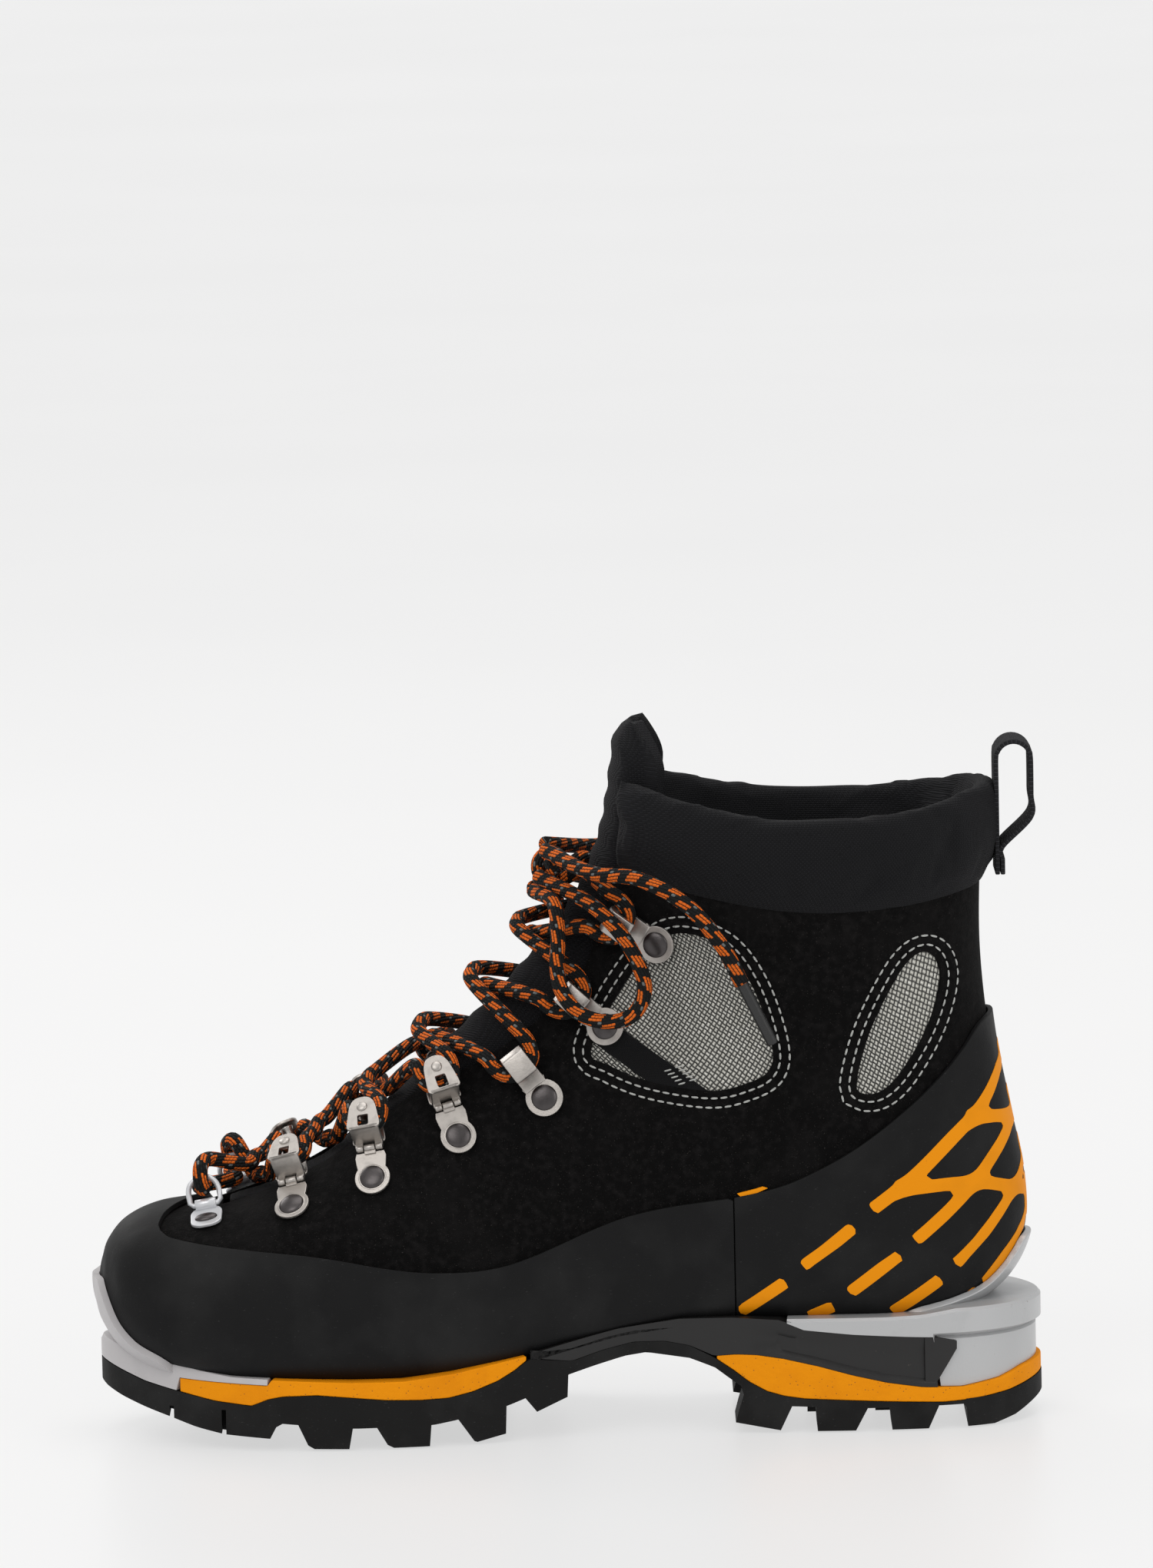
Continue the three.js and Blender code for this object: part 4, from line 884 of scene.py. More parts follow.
def collar_profile(seam, top):
    """Station and height over the last, up the pad's outer face, over its top and down inside."""
    profile = []
    for t in np.linspace(0, 1, 15):
        s = seam + (top - seam) * t
        profile.append((s, 0.4 + 3.4 * math.sin(math.pi * min(t * 0.9 + 0.08, 1)) ** 0.6))
    for degrees in (20, 50, 80, 110, 140):
        a = math.radians(degrees)
        profile.append((top + 0.16 * math.sin(a), 0.4 - 2.6 + 3.6 * math.cos(a) + 0.6))
    for t in np.linspace(0, 1, 7):
        profile.append((top - (top - seam) * 1.2 * t, -5.6 - 0.7 * math.sin(math.pi * t)))
    return profile


def build_collar():
    """Padded collar: outer face, rolled top edge and inner face, as one grid round the cuff."""
    shares = np.linspace(0, 1, COLLAR_GRID)
    stations = np.linspace(8, LAST, 260)
    grids = {side: np.array([half_ring(s, side, shares) for s in stations]) for side in SIDES.values()}
    order = [(MEDIAL, f) for f in range(COLLAR_GRID - 1, 0, -1)] + [(LATERAL, f) for f in range(COLLAR_GRID)]
    columns = []
    for side, f in order:
        lines = [grids[side][:, f, k] for k in range(3)]
        seam, top = (np.interp(0, lines[2] - line_height(edge, lines[0]), stations)
                     for edge in (CUFF_SEAM, COLLAR_TOP))
        share = shares[f]
        points = []
        for s, offset in collar_profile(seam, top):
            p = np.array([np.interp(s, stations, values) for values in lines])
            a = half_ring(min(s + 0.05, LAST), side, [share])[0] - half_ring(s - 0.05, side, [share])[0]
            b = half_ring(s, side, [min(share + 0.01, 1)])[0] - half_ring(s, side, [max(share - 0.01, 0)])[0]
            n = np.cross(a, b)
            n /= max(np.linalg.norm(n), 1e-9)
            inwards = np.array([75 - p[0], -p[1], 0])
            if np.dot(n, inwards) > 0:
                n = -n
            points.append(p + n * offset)
        columns.append(points)
    kept = [c for c in columns if not (abs(c[7][1] + CENTRE_Y) < COLLAR_OPENING and c[7][0] < 60)]
    vertices, uvs, faces = [], [], []
    for c, points in enumerate(kept):
        vertices += points
        uvs += [(run, c * 2.3) for run in run_along(points)]
    rows = len(kept[0])
    for c in range(len(kept) - 1):
        for r in range(rows - 1):
            faces.append((c * rows + r, c * rows + r + 1, (c + 1) * rows + r + 1, (c + 1) * rows + r))
        faces.append((c * rows + rows - 1, c * rows, (c + 1) * rows, (c + 1) * rows + rows - 1))
    faces.append(list(range(rows))[::-1])
    faces.append([(len(kept) - 1) * rows + r for r in range(rows)])
    collar = make("collar_cushion", vertices, faces, "collar", nodes=["collar_pad"], slot="padded_cloth",
                  uv=uvs)
    outward(collar)
    puffed(collar, 3.0, 2.2, lambda p: p[:, 2] < line_height(CUFF_SEAM, p[:, 0]) + 3)


TONGUE_TOP = 20.3  # station of its upper edge


def build_tongue():
    """Padded tongue: a thick strip down the lacing opening."""
    rows = np.linspace(THROAT_FRONT + 0.15, TONGUE_TOP, 110)
    across = np.linspace(-1, 1, 41)
    vertices, uvs = [], []
    for s in rows:
        top = ring_at(s)[0]
        wide = float(throat_half(s)) + 5.5
        wide *= 1 - 0.5 * max(s - TONGUE_TOP + 1, 0) ** 2
        ends = {side: half_ring(s, side, np.linspace(0.6, 1, 80)) for side in SIDES.values()}
        along = unit(ring_at(min(s + 0.05, LAST))[0] - ring_at(max(s - 0.05, 0))[0])
        lift = np.array([-along[2], 0, along[0]])
        edge = float(np.clip((TONGUE_TOP - s) / 0.5, 0, 1)) ** 0.5
        for t in across:
            y = t * wide
            points = ends[MEDIAL if y < 0 else LATERAL]
            offset = np.abs(points[:, 1] - top[1])
            order = np.argsort(offset)
            p = np.array([np.interp(abs(y), offset[order], points[order, k]) for k in range(3)])
            p[1] = top[1] + y
            gate = 1 / (1 + math.exp((abs(y) - (wide - 6.2)) / 0.55))
            ribs = 0.35 * math.cos(s * 7.0) * gate
            pad = -6.6 + gate * (5.4 + 0.9 * math.cos(t * math.pi / 2)) + ribs
            pad = pad * edge - 5.0 * (1 - edge)
            vertices.append(p + lift * pad)
            uvs.append((s * 12, y))
    tongue = make("tongue_pad", vertices, grid_faces(len(rows), len(across)), "collar", body="tongue",
                  nodes=["tongue"], slot="padded_cloth", uv=uvs)
    if sum(f.normal.z - f.normal.x for f in tongue.data.polygons) < 0:
        tongue.data.flip_normals()
    shell(tongue, 3.2)
    bevel(tongue, 1.2, 3, 50)


def build_inside():
    below_pad = line_height(CUFF_SEAM, skin.x) - 2 - skin.z
    field = np.minimum.reduce([-throat_field - 1, below_pad, skin.station - 0.5])
    patch("lining_cloth", field, -5.2, "lining", 0, nodes=["lining_bootie"], slot="lining")
    vertices, uvs = [], []
    xs = np.linspace(-131, 133, 90)
    across = np.linspace(-1, 1, 25)
    outline = plan_halves(xs)
    for i, x in enumerate(xs):
        z = np.interp(x, STATIONS[3:14, 2], STATIONS[3:14, 3]) + 11.7
        low, high = outline[0][i] + 10, outline[1][i] - 10
        for t in across:
            y = (low + high) / 2 + t * (high - low) / 2
            cup = 2.5 * max(0, abs(t) - 0.6) ** 2 * 6
            vertices.append((x, y, z - 0.6 + cup))
            uvs.append((x, y))
    faces = grid_faces(len(xs), len(across))
    bed = make("footbed_cloth", vertices, faces, "lining", nodes=["footbed"], slot="lining", uv=uvs)
    shell(bed, 2.5)


# ---------------------------------------------------------------- sole
SOLE_MEDIAL = [(152.5, 0), (149.5, -14), (141, -26), (125, -34.5), (100, -37.5), (70, -37), (40, -34.5),
               (10, -35.5), (-20, -42.5), (-45, -49.5), (-70, -52), (-95, -50.5), (-115, -45),
               (-131, -35.5), (-143, -24), (-150, -14)]
SOLE_LATERAL = [(-152.5, -5), (-150.5, 4), (-143, 15), (-130, 26.5), (-112, 38), (-90, 47.5), (-65, 53.5),
                (-40, 54), (-20, 51), (10, 44), (40, 40), (70, 38.5), (100, 38.5), (125, 35), (141, 26.5),
                (149.5, 14)]


OUTLINE_POINTS = 520


def make_outline():
    points = np.array(smooth_line([(x, y - CENTRE_Y) for x, y in SOLE_MEDIAL + SOLE_LATERAL], 1.0, True))
    closed = np.vstack([points, points[:1]])
    run = run_along(closed)
    wanted = np.linspace(0, run[-1], OUTLINE_POINTS + 1)[:-1]
    even = np.stack([np.interp(wanted, run, closed[:, k]) for k in range(2)], axis=1)
    tangent = np.roll(even, -1, axis=0) - np.roll(even, 1, axis=0)
    tangent /= np.linalg.norm(tangent, axis=1, keepdims=True)
    inward = np.stack([tangent[:, 1], -tangent[:, 0]], axis=1)
    if np.sum(inward * even) > 0:
        inward = -inward
    return even, inward


OUTLINE, INWARD = make_outline()


def plan_halves(xs):
    """Medial and lateral edges of the sole at each x."""
    medial = OUTLINE[OUTLINE[:, 1] < -4]
    lateral = OUTLINE[OUTLINE[:, 1] > -4]
    halves = []
    for half in (medial, lateral):
        order = np.argsort(half[:, 0])
        halves.append(np.interp(xs, half[order, 0], half[order, 1]))
    return halves


def line(points, x):
    points = np.array(points, float)
    return float(np.interp(x, points[:, 0], points[:, 1]))


RAND_FOOT = [(-96.4, 22.4), (-70.7, 21.3), (-54, 21.2), (-37.2, 22.9), (-26, 24.8), (-13.7, 27),
             (-3.7, 29.5), (15, 33.9), (34.7, 36.6), (52, 36.8), (66, 36), (101.5, 36), (112.7, 37),
             (124, 38.6), (153, 38.6)]
FRONT_RUBBER = [(-126.5, 17.4), (-115, 15.2), (-103, 14), (-97.5, 16.2), (-93, 17.1), (-82, 17.5),
                (-70.8, 16.5), (-59.5, 15.4), (-48.5, 15), (-39.5, 15.2), (-31.8, 16.7), (-23.8, 19.5),
                (-18.3, 22.6), (-13.9, 26)]
ARCH_RUBBER = [(0, 24.4), (10, 27.5), (20, 29.8), (30, 29.8), (38, 28.2)]
HEEL_RUBBER = [(45.5, 24.4), (52.5, 19.6), (57, 16.1), (62.5, 13.1), (68, 11.5), (74.8, 10.5), (101.5, 9.1),
               (119.5, 8.3), (129.5, 8.7), (140.8, 10.1), (153, 13)]
HEEL_ORANGE = [(45.8, 24.7), (52.5, 25.2), (59.3, 25), (68, 23.7), (79.2, 21.1), (90.5, 17.9), (101.5, 15.3),
               (112.8, 13.5), (126, 12.9), (138.5, 14.6), (146, 17.1), (153, 18.2)]
TOE_FOOT = [(-153, 24.3), (-145.5, 21.9), (-137.8, 19.6), (-126.8, 17.6)]
TOE_RUBBER = [(-153, 17), (-151, 15.5), (-145.5, 13.3), (-138.8, 11.3), (-129, 8.8), (-121, 6.4),
              (-112, 4.6), (-95.5, 3.4)]
RUBBER_TOP = [*[(x, z - 0.3) for x, z in TOE_FOOT[:3]], *FRONT_RUBBER, *ARCH_RUBBER, *HEEL_RUBBER]
RUBBER_FOOT = [*TOE_RUBBER, (-95, 8.6), (-70, 6.6), (-45, 6.8), (-37, 8), (-21, 11.3), (-12, 14.5),
               (-1, 20.2), (7, 22.6), (17, 25.4), (24, 26.4), (38, 24.2), (46, 21), (50.5, 17.6),
               (55, 14.4), (56, 8.4), (71, 8.2), (95.5, 7.2), (126.7, 7.4), (128, 5), (153, 8)]


def run_indices(x_low, x_high, side=None):
    """Outline points in an x range, as one or two unbroken runs."""
    keep = (OUTLINE[:, 0] >= x_low) & (OUTLINE[:, 0] <= x_high)
    if side is not None:
        keep &= np.sign(OUTLINE[:, 1] + 2) == side
    index = np.nonzero(keep)[0]
    if len(index) == len(OUTLINE):
        return [list(index)]
    breaks = np.nonzero(np.diff(index) > 1)[0]
    runs = np.split(index, breaks + 1)
    if len(runs) > 1 and runs[0][0] == 0 and runs[-1][-1] == len(OUTLINE) - 1:
        runs[0] = np.concatenate([runs[-1], runs[0]])
        runs = runs[:-1]
    return [list(r) for r in runs]


def strip(name, x_low, x_high, section, material, width=0.5, **options):
    """A section, given as (inset, z) points for each x, carried round the sole's outline."""
    vertices, faces, uvs = [], [], []
    for indices in run_indices(x_low, x_high):
        closed = len(indices) == len(OUTLINE)
        base = len(vertices)
        count = None
        for step, i in enumerate(indices):
            points = section(OUTLINE[i][0])
            count = len(points)
            for inset, z in points:
                px, py = OUTLINE[i] + INWARD[i] * inset
                vertices.append((px, py, z))
                uvs.append((step * 1.6, z))
        steps = len(indices) if closed else len(indices) - 1
        for r in range(steps):
            here, there = base + r * count, base + (r + 1) % len(indices) * count
            for k in range(count):
                m = (k + 1) % count
                faces.append((here + k, here + m, there + m, there + k))
        if not closed:
            faces.append([base + k for k in range(count)])
            faces.append([base + (len(indices) - 1) * count + k for k in range(count)][::-1])
    piece = outward(make(name, vertices, faces, material, uv=uvs, **options))
    return bevel(piece, width, 2, 40)


# Side-view outlines of the edge treads, from the toe to the heel block, which is solid across the sole.
LUGS = [
    [(-88.5, 9), (-85, 1.4), (-83, 0.2), (-71.8, 0), (-70.3, 8)],
    [(-63.6, 8), (-59.5, 1), (-57.5, 0), (-46, 0), (-45.3, 8)],
    [(-37.4, 9), (-31.8, 0.7), (-30.8, 0.3), (-21.6, 2.3), (-21.2, 13)],
    [(-16.4, 15), (-11.5, 8.7), (-1.6, 12.9), (-1, 24)],
    [(55.2, 15), (55, 11.8), (53.6, 7.4), (52.4, 3), (66.8, 0.4), (71.2, 9.5)],
    [(78.2, 9), (78.7, 0), (91, 0), (95.6, 8.5)],
    [(102, 8.5), (102.7, 0), (114.5, 0), (118.3, 8.2)],
    [(126.7, 9), (127.2, 0), (136, 0), (143, 1.9), (152.4, 6.4), (152.5, 10)],
]


SIDE_VIEW, PLAN = 1, 2  # the axis that a block's outline leaves out


def block(name, points, low, high, axis):
    """An outline as a closed block between two places on the axis that it leaves out."""
    n = len(points)
    vertices = [[*p[:axis], at, *p[axis:]] for at in (low, high) for p in points]
    faces = [list(range(n)), list(range(2 * n - 1, n - 1, -1))]
    faces += [(k, k + n, (k + 1) % n + n, (k + 1) % n) for k in range(n)]
    mesh = bpy.data.meshes.new(name)
    mesh.from_pydata([tuple(np.array(v, float) * MM) for v in vertices], [], [tuple(f) for f in faces])
    piece = bpy.data.objects.new(name, mesh)
    bpy.context.scene.collection.objects.link(piece)
    return outward(piece)


def boolean(piece, other, operation):
    made = piece.modifiers.new(operation, "BOOLEAN")
    made.operation = operation
    made.object = other
    made.solver = "MANIFOLD"
    applied(piece, made)
    bpy.data.objects.remove(other)


SOLE_HALF = 70  # more than half the sole's width
CENTRE_LUGS = [(-82, -60, 15), (-52, -34, 12), (76, 92, 11), (98, 116, 11)]  # from x, to x, half width
SIPES = [(-145, -24, 10), (-129, -24, 10), (-112, -40, 32)]  # x, and where the cuts from each side end
SIPE_HALF = 0.7


def build_outsole():
    xs = np.linspace(-152.4, 152.4, 150)
    lower = [(x, line(RUBBER_FOOT, x)) for x in xs]
    upper = [(x, line(RUBBER_TOP, x)) for x in xs[::-1]]
    base = block("outsole_base", lower + upper, -SOLE_HALF, SOLE_HALF, SIDE_VIEW)
    boolean(base, block("outsole_edge", OUTLINE[::2], -5, 60, PLAN), "INTERSECT")
    core = [(x, (y + 1.2) * 0.45 - 1.2) for x, y in OUTLINE[::4]]
    for k, points in enumerate(LUGS):
        lug = block(f"lug_{k}", points, -SOLE_HALF, SOLE_HALF, SIDE_VIEW)
        boolean(lug, block("lug_edge", OUTLINE[::2], -5, 60, PLAN), "INTERSECT")
        if k < len(LUGS) - 1:
            boolean(lug, block("lug_core", core, -6, 61, PLAN), "DIFFERENCE")
        boolean(base, lug, "UNION")
    for x_low, x_high, half in CENTRE_LUGS:
        points = [(x_low, -half), (x_high - 7, -half), (x_high, 0), (x_high - 7, half), (x_low, half),
                  (x_low + 7, 0)]
        boolean(base, block("centre_lug", points, 1.2, 12, PLAN), "UNION")
    for x, *ends in SIPES:
        for outer, inner in zip((-60, 60), ends):
            left, right = x - SIPE_HALF, x + SIPE_HALF
            groove = [(left, outer), (right, outer), (right, inner), (left, inner)]
            boolean(base, block("sipe", groove, 2, 12.5, PLAN), "DIFFERENCE")
    mesh = base.data
    vertices = [np.array(v.co) / MM for v in mesh.vertices]
    faces = [list(p.vertices) for p in mesh.polygons]
    outsole = make("outsole_tread", vertices, faces, "outsole", nodes=["outsole"], slot="black_rubber")
    bpy.data.objects.remove(base)
    bevel(outsole, 0.55, 2, 30)


def build_sole():
    build_outsole()

    def front_orange(x):
        low, high = line(FRONT_RUBBER, x) + 0.05, line(RAND_FOOT, x) + 0.15
        if x < -96.5:
            high = line([(-126.5, 21.9), (-96.5, 20.7)], x)
        high = max(high, low + 0.4)
        return [(0.2, low), (0.2, high), (14, high), (14, low)]

    def heel_orange(x):
        low, high = line(HEEL_RUBBER, x) + 0.05, line(HEEL_ORANGE, x)
        return [(0.2, low), (0.2, max(high, low + 0.4)), (16, max(high, low + 0.4)), (16, low)]

    def arch(x):
        low = line([(-13.6, 26.2), *ARCH_RUBBER, *HEEL_ORANGE], x) + 0.1
        high = min(line(RAND_FOOT, x) + 0.4, line([(62, 38), (70, 35.2), (130, 35.2)], x))
        mid = (low + high) / 2
        dent = 1.4 * float(np.clip((x - 56) / 10, 0, 1))
        return [(0.3, low), (0.3, low + 1.2), (0.3 + dent, low + 2.6), (0.3 + dent * 1.3, mid + 1),
                (0.3, high - 2.6), (0.3, high), (12, high), (12, low)]

    def arch_tip(x):
        low = line([(113, 13.8), (116.6, 13.4), (125.3, 27.2)], x)
        high = max(line([(113, 30), (118, 29.4), (125.3, 27.9)], x), low + 0.5)
        return [(0.7, low), (0.5, high), (9, high), (9, low)]

    def toe_ledge(x):
        low = line([*TOE_FOOT[:3], (-126.8, 17.6)], x)
        high = line([(-153, 31), (-143, 28.6), (-128.7, 27), (-121, 24.9), (-109.7, 23.2), (-96.6, 22.6)], x)
        if x > -126.6:
            low = line([(-126.6, 22), (-96.6, 20.8)], x)
        groove = 1.2 * float(np.clip((-127 - x) / 6, 0, 1))
        return [(0, low), (0, high - 1.6), (0.8, high), (4.5 + groove, high + 0.8 * groove),
                (16, high + 1), (16, low)]

    def heel_ledge(x):
        insert = [(68, 35.8), (74.8, 33), (90.5, 31.3), (107, 30.2), (118, 29.6)]
        low = line(insert, x) if x < 118 else line([(118, 29.6), (124.5, 26.5)], x)
        if x > 117:
            orange_top = line(HEEL_ORANGE, x) + 0.15
            low = orange_top if x > 118.5 else max(orange_top, 29.6 - (x - 117) * 10)
        high = line([(68, 36.6), (101.5, 36.6), (112.7, 37), (124, 38.6), (153, 38.6)], x)
        deep = float(np.clip((x - 116) / 5, 0, 1))
        mid = max(low + 0.2, 30.2)
        recess = 1.7 if x > 117 else 0
        return [(recess, low), (recess, max(mid - 1.6, low + 0.05)),
                (recess + 0.9 * deep, max(mid - 0.8, low + 0.1)), (0, max(mid + 0.6, low + 0.15)),
                (0, high - 1.0), (0.9, high), (16, high), (16, low)]

    foam_look = {"material": "orange", "width": 0.4, "slot": "orange_foam"}
    strip("midsole_front_band", -126.4, -13.6, front_orange, nodes=["midsole_front"], **foam_look)
    strip("midsole_heel_band", 46.2, 153, heel_orange, nodes=["midsole_heel"], **foam_look)
    strip("arch_frame_band", -13.4, 118, arch, "nylon", 0.5, nodes=["arch_frame"], slot="black_nylon")
    strip("arch_frame_tip", 113, 125.2, arch_tip, "nylon", 0.3, slot="black_nylon")
    strip("toe_welt_band", -153, -96.4, toe_ledge, "grey", 0.45, nodes=["toe_welt"], slot="grey_welt")
    strip("heel_welt_band", 68, 153, heel_ledge, "silver", 0.45, nodes=["heel_welt"], slot="silver_welt")

    face = skin.point + skin.normal * LIP_OUT
    skewed = face[..., 0] + (SKEWED_X - skin.x)
    toe_line = [(-153, 51.5), (-147.7, 43.5), (-143, 37), (-136, 31.2), (-127, 26.4), (-120, 20)]
    toe_outline = smooth_line(toe_line, 1.5) + [(-120, 15), (-170, 15), (-170, 52)]
    toe_lip = polygon_field(skewed, face[..., 2], toe_outline)
    patch("toe_welt_lip", toe_lip, LIP_OUT, "grey", 2.2, 0.8, slot="grey_welt")
    heel_line = [(108, 35), (112.7, 37), (124, 39.4), (134, 42.6), (140.7, 48), (145, 53.4), (149, 58),
                 (160, 60)]
    heel_outline = smooth_line(heel_line, 1.5) + [(170, 58), (170, 25), (108, 25)]
    heel_lip = polygon_field(face[..., 0], face[..., 2], heel_outline)
    patch("heel_welt_lip", heel_lip, LIP_OUT, "silver", 2.2, 0.8, slot="silver_welt")


# ---------------------------------------------------------------- hardware
def locate(x, z, side):
    """Station and share where the surface passes through a side-view place."""

    def look(stations, shares):
        best = None
        for s in stations:
            points = half_ring(s, side, shares)
            distance = np.hypot(points[:, 0] - x, points[:, 2] - z)
            k = int(np.argmin(distance))
            if best is None or distance[k] < best[0]:
                best = (distance[k], s, shares[k])
        return best

    _, s, f = look(np.linspace(2, 20, 91), np.linspace(0.3, 0.99, 139))
    _, s, f = look(np.linspace(s - 0.2, s + 0.2, 41), np.linspace(f - 0.006, f + 0.006, 25))
    return s, f


def surface_frame(s, share, side):
    step = 0.01
    p = half_ring(s, side, [share])[0]
    up = unit(half_ring(s, side, [min(share + step, 1)])[0] - half_ring(s, side, [share - step])[0])
    on = unit(half_ring(s + 0.05, side, [share])[0] - half_ring(s - 0.05, side, [share])[0])
    normal = unit(np.cross(up, on) * side)
    if normal[1] * side < 0:
        normal = -normal
    return p, up, normal


def place(s, share, side, lift):
    """Local frame at a rivet: +Y up the leather, +Z out of it."""
    p, up, normal = surface_frame(s, share, side)
    across = unit(np.cross(up, normal))
    p = p + normal * lift
    return Matrix([[across[k], up[k], normal[k], p[k]] for k in range(3)] + [[0, 0, 0, 1]])


def plate(name, outline_points, z_low, z_high, matrix, holes=(), round_=0.18):
    """A pressed plate with rounded edges, from a filled 2D curve."""
    curve = bpy.data.curves.new(name, "CURVE")
    curve.dimensions = "2D"
    curve.fill_mode = "BOTH"
    curve.extrude = (z_high - z_low) / 2 - round_
    curve.bevel_depth = round_
    curve.bevel_resolution = 2
    for points in (outline_points, *holes):
        spline = curve.splines.new("POLY")
        spline.points.add(len(points) - 1)
        spline.use_cyclic_u = True
        for target, (x, y) in zip(spline.points, points):
            target.co = (x, y, 0, 1)
    source = bpy.data.objects.new(name, curve)
    mesh = bpy.data.meshes.new_from_object(source)
    bpy.data.objects.remove(source)
    mesh.transform(Matrix.Translation((0, 0, (z_low + z_high) / 2)))
    mesh.transform(matrix)
    return mesh


def joined(name, meshes, material, body, nodes=(), slot=None):
    """One piece from several meshes given in millimetres."""
    vertices, faces = [], []
    for mesh in meshes:
        base = len(vertices)
        vertices += [np.array(v.co) for v in mesh.vertices]
        faces += [[base + i for i in p.vertices] for p in mesh.polygons]
    return outward(make(name, vertices, faces, material, body=body, nodes=nodes, slot=slot))


def rounded(points, radius=0.8, steps=3):
    """An outline with its corners rounded."""
    out = []
    n = len(points)
    for i in range(n):
        p = np.array(points[i], float)
        a, b = np.array(points[i - 1], float), np.array(points[(i + 1) % n], float)
        cut_a = min(radius, np.linalg.norm(a - p) * 0.45)
        cut_b = min(radius, np.linalg.norm(b - p) * 0.45)
        start = p + (a - p) / np.linalg.norm(a - p) * cut_a
        end = p + (b - p) / np.linalg.norm(b - p) * cut_b
        for k in range(steps + 1):
            t = k / steps
            out.append(tuple((1 - t) ** 2 * start + 2 * t * (1 - t) * p + t * t * end))
    return out


def slab(x_low, x_high, y_low, y_high, radius):
    """A rectangle with rounded corners."""
    return rounded([(x_low, y_low), (x_high, y_low), (x_high, y_high), (x_low, y_high)], radius)


def arc(radius, start, end):
    """Part of a circle about the rivet, between two angles in degrees."""
    angles = np.linspace(math.radians(start), math.radians(end), 34)
    return [(radius * math.cos(a), radius * math.sin(a)) for a in angles]


def lathe(profile, matrix, segments=24):
    """A turned solid about local Z from (radius, z) points."""
    mesh = bpy.data.meshes.new("turned")
    vertices = []
    for radius, z in profile:
        for k in range(segments):
            a = 2 * math.pi * k / segments
            vertices.append((radius * math.cos(a), radius * math.sin(a), z))
    mesh.from_pydata(vertices, [], tube_faces(len(profile), segments))
    mesh.transform(matrix)
    return mesh


def along_x(x, y, z):
    """Matrix that lays a turned solid's axis along local X at a place."""
    return Matrix.Translation((x, y, z)) @ Matrix.Rotation(math.pi / 2, 4, "Y")


def rod(radius, x_low, x_high, y, z, matrix, segments=18):
    r = min(0.15, radius * 0.3)
    profile = [(radius - r, 0), (radius, r), (radius, x_high - x_low - r), (radius - r, x_high - x_low)]
    return lathe(profile, matrix @ along_x(x_low, y, z), segments)


def dome(radius, rise, matrix):
    profile = [(radius, 0), (radius, 0.25)]
    for k in range(1, 8):
        a = k / 8 * math.pi / 2
        profile.append((radius * math.cos(a), 0.25 + rise * math.sin(a)))
    profile.append((0.05, 0.25 + rise))
    return lathe(profile, matrix, 28)


HINGE_Y = 10.6
HINGE_Z = 1.5
AXLE_Y = 20.8
YOKE_TOP = AXLE_Y + 3.8
INNER_PLATE = 0.8  # thickness of the yoke's inner plate
LOW = 1.1  # where the yoke's inner plate starts, above the leather
HIGH = LOW + INNER_PLATE + CHANNEL  # where its outer plate starts


